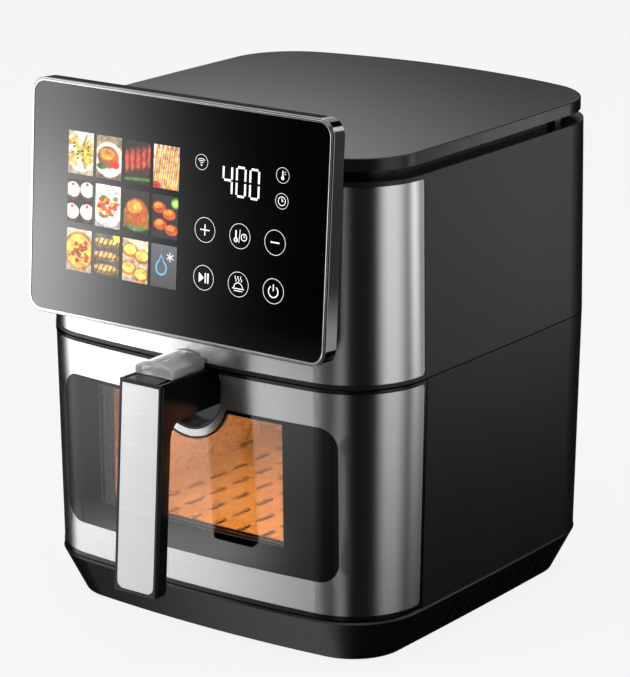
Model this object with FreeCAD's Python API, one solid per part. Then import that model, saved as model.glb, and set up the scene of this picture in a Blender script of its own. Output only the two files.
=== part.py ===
import FreeCAD, Part
import math
import os

os.makedirs("parts", exist_ok=True)
V = FreeCAD.Vector

# Counter-top air fryer with a pull-out drawer, a window and a raised touch panel. All sizes in millimetres.
# Working frame while modelling: X to the right, Y to the rear, Z up, z = 0 at the underside of the base skirt.
# ---------------------------------------------------------------- body plan
BODY_W = 284.2
BODY_D = 299.2
FRONT_ARC_R = 956.6
REAR_ARC_R = 391.0
SIDE_ARC_R = 6133.0
FRONT_CORNER_R = 52.0
REAR_CORNER_R = 54.8
# ---------------------------------------------------------------- heights
FOOT_H = 1.8
SKIRT_H = 30.4
SEAM_Z = 184.5
SHELL_TOP_Z = 315.4
COVER_Z = 322.0
COVER_T = 8.0
COVER_SKIN = 2.4
# ---------------------------------------------------------------- shells
SHELL_T = 3.0
SEAM_GAP = 0.4
DRAFT_LOW = 2.5
DRAFT_UP = 2.08
SKIRT_BOTTOM_INSET = 16.6
SKIRT_RIM_INSET = 2.0
SKIRT_CHAMFER = 1.5
VENTS = 9
VENT_Y = -42.9
VENT_PITCH = 13.42
COVER_INSET = 4.1
COLLAR_INSET = 12.0
SIDE_SPLIT_Y = 88.0
# ---------------------------------------------------------------- steel skins
STEEL_T = 0.8
STEEL_RECESS = 0.3
STEEL_MARGIN = 3.0
STEEL_CORNER_R = 2.6
SKIN_FIT = 0.1
# ---------------------------------------------------------------- window and handle recess
WINDOW_W = 220.0
WINDOW_BOTTOM_Z = 56.0
WINDOW_TOP_Z = 158.5
WINDOW_CORNER_R = 13.0
WINDOW_T = 3.0
SIGHT_W = 154.0
SIGHT_BOTTOM_Z = 72.0
RECESS_R = 25.0
RECESS_CENTRE_Z = 167.0
RECESS_D = 11.0
RECESS_WALL = 2.5
NOTCH_BAND = 6.0
# ---------------------------------------------------------------- handle
HANDLE_W = 35.0
HANDLE_T = 11.0
HANDLE_BOTTOM_Z = 45.6
HANDLE_REACH = 47.4
NECK_H = 26.5
HANDLE_EDGE_R = 1.8
TRIM_W = 29.0
TRIM_T = 1.2
# ---------------------------------------------------------------- panel
PANEL_W = 237.5
PANEL_H = 153.1
PANEL_T = 11.6
PANEL_R = 11.0
PANEL_TILT = 3.82
PANEL_MID_Z = 281.45
PANEL_STANDOFF = 11.35
# ---------------------------------------------------------------- cooking chamber
LINER_GAP = 20.1
LINER_T = 0.8
LINER_REAR_GAP = 33.6
PAN_RUN_GAP = 9.2
PAN_T = 1.0
PAN_FRONT_GAP = 15.6
BASKET_GAP = 4.0
PAN_FLOOR_Z = 38.0
RIM_DROP = 16.5
BASKET_R = 20.0
CHAMBER_H = 31.8
CHAMBER_R = 30.0
CRISPER_Z = 56.0
CRISPER_T = 1.5
# ---------------------------------------------------------------- fan and motor
FAN_R = 62.0
FAN_Y = -12.0
SHAFT_R = 4.0
SHAFT_FIT = 0.05
MOTOR_R = 34.0
MOTOR_H = 40.0
COOL_FAN_R = 48.0
ELEMENT_R = 3.2
ELEMENT_RING_R = 94.0
ELEMENT_PITCH = 20.0
# ---------------------------------------------------------------- clearances
RUN_GAP = 0.5
TOUCH_GAP = 0.1
RAIL_T = 1.6

HALF_W = BODY_W / 2
FRONT = -BODY_D / 2
REAR = BODY_D / 2
SPLIT_Y = FRONT + (BODY_D / 2 - SIDE_SPLIT_Y)
LOWER_TOP = SEAM_Z - SEAM_GAP
UPPER_BOTTOM = SEAM_Z + SEAM_GAP
DRAWER_Z0 = SKIRT_H + 1.0
DRAWER_Z1 = SEAM_Z - 0.6
SKIN_IN = STEEL_RECESS + STEEL_T
BED_IN = SKIN_IN + SKIN_FIT
FRAME_IN = BED_IN + SHELL_T
LINER_X = HALF_W - LINER_GAP
LINER_REAR = REAR - LINER_REAR_GAP
LINER_Z0 = SKIRT_H + 2.8
BULKHEAD_Y = SPLIT_Y + 1.2
PAN_X = LINER_X - PAN_RUN_GAP - LINER_T
PAN_FRONT = FRONT + PAN_FRONT_GAP
PAN_REAR = LINER_REAR - PAN_RUN_GAP - LINER_T
RIM_Z = SEAM_Z - RIM_DROP
BASKET_X = PAN_X - PAN_T - BASKET_GAP
BASKET_FRONT = PAN_FRONT + PAN_T + 5.0
BASKET_REAR = PAN_REAR - PAN_T - BASKET_GAP
BASKET_Z0 = PAN_FLOOR_Z + PAN_T + 5.0
SIGHT_TOP_Z = RIM_Z - 10.0
DECK_Z = SEAM_Z + 0.7
DECK_T = 1.2
ROOF_Z = DECK_Z + CHAMBER_H
CHAMBER_FRONT = FRONT + 12.6
TILT = math.tan(math.radians(PANEL_TILT))
NECK_TOP = SEAM_Z - 0.3
HANDLE_TOP_Y = FRONT - HANDLE_REACH
TUB_BACK = FRONT + RECESS_D
RAIL_X = LINER_X - LINER_T - 0.2
RAIL_FRONT = BULKHEAD_Y - 31.0


def box(x0, x1, y0, y1, z0, z1):
    """Plain block between two corners."""
    return Part.makeBox(x1 - x0, y1 - y0, z1 - z0, V(x0, y0, z0))


def rounded(x0, x1, y0, y1, z0, z1, radius, axis):
    """Block with its four edges along one axis rounded."""
    solid = box(x0, x1, y0, y1, z0, z1)
    along = {"x": V(1, 0, 0), "y": V(0, 1, 0), "z": V(0, 0, 1)}[axis]
    edges = [e for e in solid.Edges if abs(e.tangentAt(e.FirstParameter).dot(along)) > 0.9]
    return solid.makeFillet(radius, edges)


def rod(radius, start, end):
    """Cylinder from one point to another."""
    axis = end.sub(start)
    return Part.makeCylinder(radius, axis.Length, start, axis)


def tube(outer_r, inner_r, start, end):
    """Pipe from one point to another."""
    return rod(outer_r, start, end).cut(rod(inner_r, start, end))


def fuse(shapes):
    """One solid out of several that meet."""
    return shapes[0].multiFuse(shapes[1:]).removeSplitter()


def corner_centre(end_centre, end_r, side_centre, side_r, corner_r, sign):
    """Centre of a corner arc that is tangent inside an end arc and a side arc."""
    r0 = end_r - corner_r
    r1 = side_r - corner_r
    line = side_centre.sub(end_centre)
    d = line.Length
    m = (r0 * r0 - r1 * r1 + d * d) / (2 * d)
    h = math.sqrt(r0 * r0 - m * m)
    e = V(line).normalize()
    n = V(-e.y, e.x, 0)
    points = [end_centre + e * m + n * h, end_centre + e * m - n * h]
    return max(points, key=lambda p: p.x + sign * p.y)


def outline(inset, z):
    """Closed wire of the body plan, moved inwards by an inset, at one height."""
    front_c = V(0, FRONT + FRONT_ARC_R, 0)
    rear_c = V(0, REAR - REAR_ARC_R, 0)
    side_c = V(HALF_W - SIDE_ARC_R, 0, 0)
    fc = corner_centre(front_c, FRONT_ARC_R, side_c, SIDE_ARC_R, FRONT_CORNER_R, -1)
    rc = corner_centre(rear_c, REAR_ARC_R, side_c, SIDE_ARC_R, REAR_CORNER_R, 1)

    def on_arc(centre, radius, towards):
        return centre + V(towards).normalize() * (radius - inset)

    def mirror(p):
        return V(-p.x, p.y, 0)

    a = on_arc(fc, FRONT_CORNER_R, fc - front_c)
    b = on_arc(fc, FRONT_CORNER_R, V(1, -1, 0))
    c = on_arc(fc, FRONT_CORNER_R, fc - side_c)
    d = on_arc(side_c, SIDE_ARC_R, V(1, 0, 0))
    e = on_arc(rc, REAR_CORNER_R, rc - side_c)
    f = on_arc(rc, REAR_CORNER_R, V(1, 1, 0))
    g = on_arc(rc, REAR_CORNER_R, rc - rear_c)
    front = V(0, FRONT + inset, 0)
    rear = V(0, REAR - inset, 0)
    arcs = [(mirror(a), front, a), (a, b, c), (c, d, e), (e, f, g)]
    arcs += [(g, rear, mirror(g)), (mirror(g), mirror(f), mirror(e))]
    arcs += [(mirror(e), mirror(d), mirror(c)), (mirror(c), mirror(b), mirror(a))]
    up = V(0, 0, z)
    return Part.Wire([Part.Arc(p + up, q + up, r + up).toShape() for p, q, r in arcs])


def draft(z):
    """How far the moulded wall leans in at a height; none at the seam."""
    if z > SEAM_Z:
        return DRAFT_UP * (z - SEAM_Z) / (SHELL_TOP_Z - SEAM_Z)
    return DRAFT_LOW * (SEAM_Z - z) / (SEAM_Z - SKIRT_H)


def taper(z0, inset0, z1, inset1):
    """Solid between two heights of the body plan with an inset at each."""
    return Part.makeLoft([outline(inset0, z0), outline(inset1, z1)], True, True)


def block(z0, z1, inset):
    """Solid of the drafted body between two heights on one side of the seam."""
    return taper(z0, inset + draft(z0), z1, inset + draft(z1))


def ring(z0, z1, inset0, inset1):
    """Drafted wall between two insets."""
    return block(z0, z1, inset0).cut(block(z0 - 1, z1 + 1, inset1))


def recess_shape(radius, y0, y1):
    """U-shaped cutter, open upwards, that runs from front to back."""
    round_part = rod(radius, V(0, y0, RECESS_CENTRE_Z), V(0, y1, RECESS_CENTRE_Z))
    return round_part.fuse(box(-radius, radius, y0, y1, RECESS_CENTRE_Z, UPPER_BOTTOM + 2))


def window_shape(grow, y0, y1):
    """Window outline with its notch around the handle recess."""
    half = WINDOW_W / 2 + grow
    radius = WINDOW_CORNER_R + grow
    pane = rounded(-half, half, y0, y1, WINDOW_BOTTOM_Z - grow, WINDOW_TOP_Z + grow, radius, "y")
    return pane.cut(recess_shape(RECESS_R + NOTCH_BAND - grow, y0 - 1, y1 + 1))


def skin_shape(z0, z1, grow):
    """Side profile of a steel skin, a rounded rectangle that runs across the whole body."""
    x = HALF_W + 10
    y1 = SPLIT_Y - 1.5 + grow
    return rounded(-x, x, FRONT - 40, y1, z0 - grow, z1 + grow, STEEL_CORNER_R + grow, "x")


def front_zone(y1, z0, z1):
    """Everything in front of a plane across the body."""
    return box(-HALF_W - 20, HALF_W + 20, FRONT - 60, y1, z0, z1)


# ================================================================ base
def skirt_inner(z):
    """Inset of the skirt's inner face at a height."""
    low = SKIRT_BOTTOM_INSET + SHELL_T - 1.2
    high = SKIRT_RIM_INSET + SHELL_T + 1
    return low + (high - low) * (z - SHELL_T) / (SKIRT_H + 1 - SHELL_T)


def base_tray():
    """Skirt that leans in towards the table, with a floor and vent slots down its right and left sides."""
    top = SKIRT_H - SKIRT_CHAMFER
    outer = taper(0, SKIRT_BOTTOM_INSET, top, SKIRT_RIM_INSET)
    rim = taper(top, SKIRT_RIM_INSET, SKIRT_H, SKIRT_RIM_INSET + SKIRT_CHAMFER)
    inner = taper(SHELL_T, skirt_inner(SHELL_T), SKIRT_H + 1, skirt_inner(SKIRT_H + 1))
    tray = fuse([outer, rim]).cut(inner)
    for i in range(VENTS):
        y = VENT_Y + VENT_PITCH * i
        slot = rounded(-HALF_W - 5, HALF_W + 5, y - 1.6, y + 1.6, 4.0, SKIRT_H - 6, 1.5, "x")
        slot = slot.cut(box(-HALF_W + 30, HALF_W - 30, y - 3, y + 3, 0, SKIRT_H))
        tray = tray.cut(slot)
    for x, y in foot_places():
        tray = tray.cut(rod(1.9, V(x * 0.7, y * 0.7, -1), V(x * 0.7, y * 0.7, SHELL_T + 1)))
    return tray


def foot_places():
    """Centres of the four feet, inside the rounded corners of the skirt."""
    x = HALF_W - FRONT_CORNER_R + 12
    y = BODY_D / 2 - FRONT_CORNER_R + 12
    return [(x, -y), (-x, -y), (x, y), (-x, y)]


def rubber_feet():
    """Four soft pads under the corners."""
    pads = []
    for x, y in foot_places():
        pad = rod(10.0, V(x, y, -FOOT_H), V(x, y, 0))
        pads.append(pad.makeFillet(0.8, [pad.Edges[0] if pad.Edges[0].CenterOfMass.z < -1 else pad.Edges[2]]))
    return Part.makeCompound(pads)


def base_screws():
    """Four screws up through the floor of the base."""
    screws = []
    for x, y in foot_places():
        head = rod(3.4, V(x * 0.7, y * 0.7, -1.2), V(x * 0.7, y * 0.7, -TOUCH_GAP))
        shank = rod(1.7, V(x * 0.7, y * 0.7, -TOUCH_GAP), V(x * 0.7, y * 0.7, SHELL_T + 4))
        screws.append(head.fuse(shank))
    return Part.makeCompound(screws)


def base_deck():
    """Floor plate that closes the base and carries the chamber on four pads."""
    z1 = SKIRT_H - 0.4
    z0 = z1 - 2.2
    deck = taper(z0, skirt_inner(z0) + TOUCH_GAP, z1, skirt_inner(z1) + TOUCH_GAP)
    pads = [rod(7.0, V(x * 0.75, y * 0.6, z1 - 0.5), V(x * 0.75, y * 0.6, LINER_Z0)) for x, y in foot_places()]
    return fuse([deck] + pads)


# ================================================================ shells
def lower_shell():
    """Side and rear wall below the seam, its front bulkhead and the lip that locates the upper shell."""
    wall = ring(SKIRT_H, LOWER_TOP, 0, SHELL_T)
    band = ring(LOWER_TOP - 8, LOWER_TOP, SHELL_T - 0.5, FRAME_IN + 1.8)
    lip = taper(LOWER_TOP - 1, FRAME_IN + 0.2, SEAM_Z + 3, FRAME_IN + 0.2)
    lip = lip.cut(taper(LOWER_TOP - 9, FRAME_IN + 1.8, SEAM_Z + 4, FRAME_IN + 1.8))
    shell = fuse([wall, band, lip]).cut(front_zone(SPLIT_Y + 1.2, 0, SHELL_TOP_Z))
    plate = block(SKIRT_H, LOWER_TOP, SHELL_T - 0.5)
    plate = plate.common(box(-HALF_W, HALF_W, BULKHEAD_Y, BULKHEAD_Y + 2.5, 0, SHELL_TOP_Z))
    plate = plate.cut(box(-LINER_X - TOUCH_GAP, LINER_X + TOUCH_GAP, FRONT, REAR, LINER_Z0 - TOUCH_GAP, SEAM_Z + 9))
    shell = fuse([shell, plate])
    gland = rod(GLAND_R + 0.1, V(GLAND_X, REAR - 30, GLAND_Z), V(GLAND_X, REAR + 10, GLAND_Z))
    return shell.cut(gland)


def rear_wall(x, z):
    """Y of the outer rear wall below the seam."""
    return REAR - REAR_ARC_R + math.sqrt(REAR_ARC_R ** 2 - x * x) - draft(z)


GLAND_X = 60.0
GLAND_Z = 50.0
GLAND_R = 7.5
GLAND_BORE_R = 3.6
GLAND_LENGTH = 18.0


def cord_gland():
    """Rubber grommet in the rear wall that a mains lead would pass through."""
    y1 = rear_wall(GLAND_X, GLAND_Z) + 4.6
    y0 = y1 - GLAND_LENGTH
    body = rod(GLAND_R, V(GLAND_X, y0, GLAND_Z), V(GLAND_X, y1, GLAND_Z))
    collar = rod(GLAND_R + 2.5, V(GLAND_X, y1 - 2.5, GLAND_Z), V(GLAND_X, y1, GLAND_Z))
    inner = rod(GLAND_R + 2.5, V(GLAND_X, y0, GLAND_Z), V(GLAND_X, y0 + 2.5, GLAND_Z))
    return fuse([body, collar, inner]).cut(rod(GLAND_BORE_R, V(GLAND_X, y0 - 1, GLAND_Z), V(GLAND_X, y1 + 1, GLAND_Z)))


GRILLE_W = 100.0
GRILLE_Z0 = 190.0
GRILLE_Z1 = 262.0
GRILLE_PROUD = 2.4


def upper_shell():
    """Wall above the seam, with a bed for the steel skin and an inward flange at the top."""
    outer = block(UPPER_BOTTOM, SHELL_TOP_Z, 0)
    inner = block(UPPER_BOTTOM - 1, SHELL_TOP_Z - 2.4, FRAME_IN)
    shell = outer.cut(inner).cut(block(SHELL_TOP_Z - 4, SHELL_TOP_Z + 1, COLLAR_INSET + 4))
    bed = skin_shape(SEAM_Z + STEEL_MARGIN, SHELL_TOP_Z - STEEL_MARGIN, SKIN_FIT)
    bed = bed.cut(block(SEAM_Z, SHELL_TOP_Z + 1, BED_IN))
    shell = shell.cut(bed)
    half = GRILLE_W / 2 + SKIN_FIT
    vent = rounded(-half, half, REAR - 20, REAR + 20, GRILLE_Z0 - SKIN_FIT, GRILLE_Z1 + SKIN_FIT, 6.0, "y")
    wires = rod(6.0, V(0, FRONT - 10, PANEL_MID_Z - 25), V(0, FRONT + 12, PANEL_MID_Z - 25))
    return shell.cut(vent).cut(wires)


def upper_front_steel():
    """Brushed skin that wraps the front and both front corners above the seam."""
    z0 = SEAM_Z + STEEL_MARGIN
    z1 = SHELL_TOP_Z - STEEL_MARGIN
    sheet = ring(z0 - 2, z1 + 1, STEEL_RECESS, SKIN_IN).common(skin_shape(z0, z1, 0))
    return sheet.cut(bracket_block(SKIN_FIT))


def bracket_block(grow):
    """Block through which the panel bracket reaches the body."""
    half = BRACKET_W / 2 + grow
    return rounded(-half, half, FRONT - 30, FRONT + 12, BRACKET_Z0 - grow, BRACKET_Z1 + grow, 8.0, "y")


BRACKET_W = 140.0
BRACKET_Z0 = 222.0
BRACKET_Z1 = 304.0


def top_collar():
    """Dark set-back wall that makes the shadow gap under the top cover, with two small posts near the rear."""
    z0 = SHELL_TOP_Z
    lean = DRAFT_UP
    wall = taper(z0, COLLAR_INSET + lean, COVER_Z, COLLAR_INSET + lean)
    wall = wall.cut(taper(z0 - 1, COLLAR_INSET + lean + 3, COVER_Z + 1, COLLAR_INSET + lean + 3))
    posts = []
    for side in (-1, 1):
        x = side * (HALF_W - COLLAR_INSET - lean)
        posts.append(rounded(x - 3, x + 3, REAR - 74, REAR - 66, z0, COVER_Z, 1.0, "z"))
    return fuse([wall] + posts)


def top_cover():
    """Moulded lid with softly rounded upper edge, hollow under its skin inside the collar."""
    z1 = COVER_Z + COVER_T
    plate = taper(COVER_Z, COVER_INSET, z1, COVER_INSET)
    edges = [e for e in plate.Edges if abs(e.BoundBox.ZMin - z1) < 0.01 and e.BoundBox.ZLength < 0.01]
    plate = plate.makeFillet(1.2, edges)
    rim = COLLAR_INSET + DRAFT_UP + 5
    return plate.cut(taper(COVER_Z - 1, rim, z1 - COVER_SKIN, rim))


# ================================================================ touch panel
def panel_place(shape):
    """Move a piece from the panel's own frame, front face at y = 0, to its leaning place."""
    placed = shape.copy()
    placed.rotate(V(0, 0, 0), V(1, 0, 0), -PANEL_TILT)
    placed.translate(V(0, FRONT - PANEL_STANDOFF, PANEL_MID_Z))
    return placed


def panel_slab(inset, y0, y1):
    """Rounded plate of the panel's outline in the panel's own frame."""
    x = PANEL_W / 2 - inset
    z = PANEL_H / 2 - inset
    return rounded(-x, x, y0, y1, -z, z, PANEL_R - inset, "y")


BEZEL_INSET = 1.0
BEZEL_W = 1.7
GLASS_T = 2.0
BACK_IN = 1.3


def panel_housing():
    """Polished frame of the panel: a ring with a ledge behind the glass."""
    frame = panel_slab(0, 0.4, PANEL_T)
    front = [e for e in frame.Edges if abs(e.BoundBox.YMin - 0.4) < 0.01 and e.BoundBox.YLength < 0.01]
    frame = frame.makeFillet(0.6, front)
    frame = frame.cut(panel_slab(BEZEL_INSET, 0, 0.4 + GLASS_T))
    frame = frame.cut(panel_slab(BEZEL_INSET + 4, 0, PANEL_T + 1))
    frame = frame.cut(panel_slab(BEZEL_INSET + 2, PANEL_T - 4, PANEL_T + 1))
    return panel_place(frame)


def panel_bezel():
    """Thin bright bead around the glass."""
    bead = panel_slab(BEZEL_INSET, 0, 0.4 + GLASS_T)
    bead = bead.cut(panel_slab(BEZEL_INSET + BEZEL_W, -1, 3 + GLASS_T))
    front = [e for e in bead.Edges if abs(e.BoundBox.YMin) < 0.01 and e.BoundBox.YLength < 0.01]
    return panel_place(bead.makeFillet(0.5, front))


def panel_glass():
    """Black touch glass, flush just behind the bead."""
    return panel_place(panel_slab(BEZEL_INSET + BEZEL_W, 0.3, 0.4 + GLASS_T))


def display_board():
    """Circuit board behind the glass with the display block and key pads."""
    board = panel_slab(BEZEL_INSET + 4.4, 3.4, 5.0)
    screen = box(-100, 8, 0.4 + GLASS_T, 3.5, -52, 44)
    digits = box(40, 84, 0.4 + GLASS_T, 3.5, 12, 46)
    pieces = [board, screen, digits]
    for row in range(2):
        for column in range(3):
            x = 22 + 40 * column
            z = -20 - 32 * row
            if x + 8 < PANEL_W / 2 - 8:
                pieces.append(rod(6.5, V(x, 0.4 + GLASS_T, z), V(x, 3.5, z)))
    return panel_place(fuse(pieces))


def panel_back_cover():
    """Back plate of the panel, set a little into the frame."""
    y1 = PANEL_T - BACK_IN
    plate = panel_slab(BEZEL_INSET + 2.1, y1 - 2.4, y1)
    plate = plate.cut(rod(6.0, V(0, 0, -25), V(0, PANEL_T + 1, -25)))
    return panel_place(plate)


def panel_bracket():
    """Neck that fills the wedge between the panel's back and the body front."""
    y1 = PANEL_T - BACK_IN
    ahead = panel_place(box(-PANEL_W, PANEL_W, -60, y1, -PANEL_H, PANEL_H))
    neck = bracket_block(0).cut(ahead).cut(block(SEAM_Z, SHELL_TOP_Z + 1, BED_IN - TOUCH_GAP))
    neck = neck.common(box(-HALF_W, HALF_W, FRONT - 40, FRONT + 12, SEAM_Z, SHELL_TOP_Z))
    return neck.cut(rod(5.5, V(0, FRONT - 40, PANEL_MID_Z - 25), V(0, FRONT + 20, PANEL_MID_Z - 25)))


# ================================================================ chamber
def inner_liner():
    """Sheet-steel box that the drawer slides into, open at the front and top."""
    y0 = BULKHEAD_Y
    outer = box(-LINER_X, LINER_X, y0, LINER_REAR, LINER_Z0, DECK_Z - TOUCH_GAP)
    t = LINER_T
    return outer.cut(box(-LINER_X + t, LINER_X - t, y0 - 1, LINER_REAR - t, LINER_Z0 + t, DECK_Z + 1))


def chamber_opening(grow, z0, z1):
    """Cutter of the heating chamber's mouth."""
    x = LINER_X + grow
    return rounded(-x, x, CHAMBER_FRONT - grow, LINER_REAR + grow, z0, z1, CHAMBER_R + grow, "z")


def mid_deck():
    """Sheet deck that closes the underside of the upper shell around the chamber's mouth."""
    inset = FRAME_IN + 2.0
    deck = taper(DECK_Z, inset, DECK_Z + DECK_T, inset)
    return deck.cut(chamber_opening(-4.0, DECK_Z - 1, DECK_Z + 3))


def heat_reflector():
    """Inverted pan over the basket that carries the element, with ports for shaft, terminals, sensor and lamp."""
    z0 = DECK_Z + DECK_T
    roof = chamber_opening(0, z0, ROOF_Z).cut(chamber_opening(-LINER_T, z0 - 1, ROOF_Z - LINER_T))
    roof = roof.cut(rod(8.0, V(0, FAN_Y, z0), V(0, FAN_Y, ROOF_Z + 5)))
    for p in element_ends():
        roof = roof.cut(rod(ELEMENT_R + 2, V(p.x, p.y, z0), V(p.x, p.y, ROOF_Z + 5)))
    sensor = V(-70, CHAMBER_FRONT + 19, z0)
    roof = roof.cut(rod(2.0, sensor, sensor + V(0, 0, CHAMBER_H + 5)))
    lamp = V(70, CHAMBER_FRONT + 15, z0)
    roof = roof.cut(rod(8.0, lamp, lamp + V(0, 0, CHAMBER_H + 5)))
    return roof.cut(box(-32, 32, LINER_REAR - 5, LINER_REAR + 5, z0 + 6, ROOF_Z - 5))


ELEMENT_Z = DECK_Z + 12.0
ELEMENT_START = math.radians(100)
ELEMENT_END = math.radians(100 + 325)


def polar(radius, angle, z):
    """Point around the fan axis."""
    return V(radius * math.cos(angle), FAN_Y + radius * math.sin(angle), z)


def element_ends():
    """Where the two ends of the element turn up through the roof."""
    return [polar(ELEMENT_RING_R, ELEMENT_START, ELEMENT_Z), polar(ELEMENT_RING_R - ELEMENT_PITCH, ELEMENT_START, ELEMENT_Z)]


def heating_element():
    """Sheathed heater: an outer and an inner ring joined by a U-bend, with two upright terminals."""
    r0 = ELEMENT_RING_R
    r1 = ELEMENT_RING_R - ELEMENT_PITCH
    middle = (ELEMENT_START + ELEMENT_END) / 2
    bend_c = polar((r0 + r1) / 2, ELEMENT_END, ELEMENT_Z)
    ahead = V(-math.sin(ELEMENT_END), math.cos(ELEMENT_END), 0) * (ELEMENT_PITCH / 2)
    z = ELEMENT_Z
    path = Part.Wire([
        Part.Arc(polar(r0, ELEMENT_START, z), polar(r0, middle, z), polar(r0, ELEMENT_END, z)).toShape(),
        Part.Arc(polar(r0, ELEMENT_END, z), bend_c + ahead, polar(r1, ELEMENT_END, z)).toShape(),
        Part.Arc(polar(r1, ELEMENT_END, z), polar(r1, middle, z), polar(r1, ELEMENT_START, z)).toShape(),
    ])
    start = polar(r0, ELEMENT_START, z)
    along = V(-math.sin(ELEMENT_START), math.cos(ELEMENT_START), 0)
    section = Part.Wire([Part.Circle(start, along, ELEMENT_R).toShape()])
    coil = path.makePipeShell([section], True, False)
    pieces = [coil]
    for p in element_ends():
        pieces.append(Part.makeSphere(ELEMENT_R, p))
        pieces.append(rod(ELEMENT_R, p, V(p.x, p.y, ROOF_Z + 8)))
    return fuse(pieces)


def element_clips():
    """Three hangers that hold both rings up to the roof."""
    clips = []
    r = ELEMENT_RING_R - ELEMENT_PITCH / 2
    z0 = ELEMENT_Z - ELEMENT_R - 1.7
    for k in range(3):
        stem = box(r - 1.5, r + 1.5, -4, 4, z0, ROOF_Z - LINER_T)
        foot = box(r - 15, r + 15, -4, 4, z0, z0 + 1.6)
        clip = stem.fuse(foot)
        clip.rotate(V(0, 0, 0), V(0, 0, 1), 150 + 100 * k)
        clip.translate(V(0, FAN_Y, 0))
        clips.append(clip)
    return Part.makeCompound(clips)


def element_guard():
    """Wire guard below the element: rings on crossing bars that reach the chamber walls."""
    z = DECK_Z + 4.0
    half = LINER_X - LINER_T
    low = z - 0.7
    bars = [rod(1.2, V(-half, FAN_Y + y, low), V(half, FAN_Y + y, low)) for y in (-27, 27)]
    bars.append(rod(1.2, V(0, FAN_Y - 106, low), V(0, FAN_Y + 106, low)))
    rings = [Part.makeTorus(r, 1.2, V(0, FAN_Y, z), V(0, 0, 1)) for r in (40, 62, 84, 105)]
    return fuse(rings[:1] + bars + rings[1:])


def rail(side):
    """Drawer rail: web under the deck with two flanges around the pan's rim."""
    inner = RAIL_X - RAIL_T
    web = box(inner, RAIL_X, RAIL_FRONT, LINER_REAR - LINER_T - 1, RIM_Z - 5, DECK_Z - TOUCH_GAP)
    tip = PAN_X + 2.6
    low = box(tip, inner + 0.2, RAIL_FRONT, LINER_REAR - LINER_T - 1, RIM_Z - 5, RIM_Z - PAN_T - RUN_GAP - 0.6)
    high = box(tip, inner + 0.2, RAIL_FRONT, LINER_REAR - LINER_T - 1, RIM_Z + RUN_GAP + 1.6, RIM_Z + RUN_GAP + 3.1)
    solid = fuse([web, low, high])
    return solid if side > 0 else solid.mirror(V(0, 0, 0), V(1, 0, 0))


def microswitch():
    """Safety switch on the rear wall of the chamber, its lever just behind the closed drawer."""
    wall = LINER_REAR - LINER_T
    body = box(40, 60, PAN_REAR + 2.6, wall, RIM_Z - 12, RIM_Z - 2)
    lever = box(44, 56, PAN_REAR + RUN_GAP, PAN_REAR + 2.8, RIM_Z - 8, RIM_Z - 6)
    return fuse([body, lever])


def thermal_fuse():
    """Cut-out clipped on the chamber roof."""
    body = rod(3.0, V(78, 10, ROOF_Z + 3), V(102, 10, ROOF_Z + 3))
    return body.fuse(box(84, 96, 6, 14, ROOF_Z, ROOF_Z + 3))


def temperature_sensor():
    """Probe that passes through the roof into the chamber."""
    p = V(-70, CHAMBER_FRONT + 19, 0)
    probe = rod(1.8, p + V(0, 0, DECK_Z + 8), p + V(0, 0, ROOF_Z + 6))
    return probe.fuse(rod(5.0, p + V(0, 0, ROOF_Z), p + V(0, 0, ROOF_Z + 3)))


def oven_lamp():
    """Small lamp hung through the roof beside the window."""
    p = V(70, CHAMBER_FRONT + 15, 0)
    socket = rod(7.6, p + V(0, 0, ROOF_Z - 6), p + V(0, 0, ROOF_Z + 8))
    bulb = rod(5.0, p + V(0, 0, ROOF_Z - 16), p + V(0, 0, ROOF_Z - 6))
    tip = Part.makeSphere(5.0, p + V(0, 0, ROOF_Z - 16))
    collar = rod(11.0, p + V(0, 0, ROOF_Z), p + V(0, 0, ROOF_Z + 2))
    return fuse([socket, bulb, tip, collar])


def lamp_cover():
    """Glass cup around the lamp."""
    p = V(70, CHAMBER_FRONT + 15, 0)
    cup = rod(10.5, p + V(0, 0, ROOF_Z - 25), p + V(0, 0, ROOF_Z - LINER_T))
    return cup.cut(rod(9.0, p + V(0, 0, ROOF_Z - 23.5), p + V(0, 0, ROOF_Z)))


def exhaust_duct():
    """Square duct from the chamber's rear wall to the outlet grille."""
    z0 = DECK_Z + DECK_T + 4
    z1 = ROOF_Z - 3
    solid = box(-36, 36, LINER_REAR, REAR, z0, z1)
    solid = solid.common(block(SEAM_Z, SHELL_TOP_Z, FRAME_IN + 0.4))
    return solid.cut(box(-35, 35, LINER_REAR - 1, REAR, z0 + 1, z1 - 1))


def rear_grille():
    """Raised outlet grille that also keeps the rear off the wall."""
    half = GRILLE_W / 2
    plug = rounded(-half, half, REAR - 20, REAR + 20, GRILLE_Z0, GRILLE_Z1, 6.0, "y")
    body = block(SEAM_Z, SHELL_TOP_Z, -GRILLE_PROUD).cut(block(SEAM_Z - 1, SHELL_TOP_Z + 1, SHELL_T))
    body = body.common(plug)
    for k in range(7):
        z = GRILLE_Z0 + 7 + 9.2 * k
        body = body.cut(rounded(-half + 8, half - 8, REAR - 30, REAR + 30, z, z + 4.2, 2.0, "y"))
    return body


# ================================================================ motor and fans
def motor_bracket():
    """Plate on four legs over the chamber roof."""
    z = ROOF_Z + 24
    plate = rounded(-62, 62, FAN_Y - 62, FAN_Y + 62, z, z + 2, 10, "z")
    plate = plate.cut(rod(9.0, V(0, FAN_Y, z - 1), V(0, FAN_Y, z + 3)))
    legs = []
    for x in (-54, 54):
        for y in (FAN_Y - 54, FAN_Y + 54):
            legs.append(rod(4.0, V(x, y, ROOF_Z), V(x, y, z + 1)))
    return fuse([plate] + legs)


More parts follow.
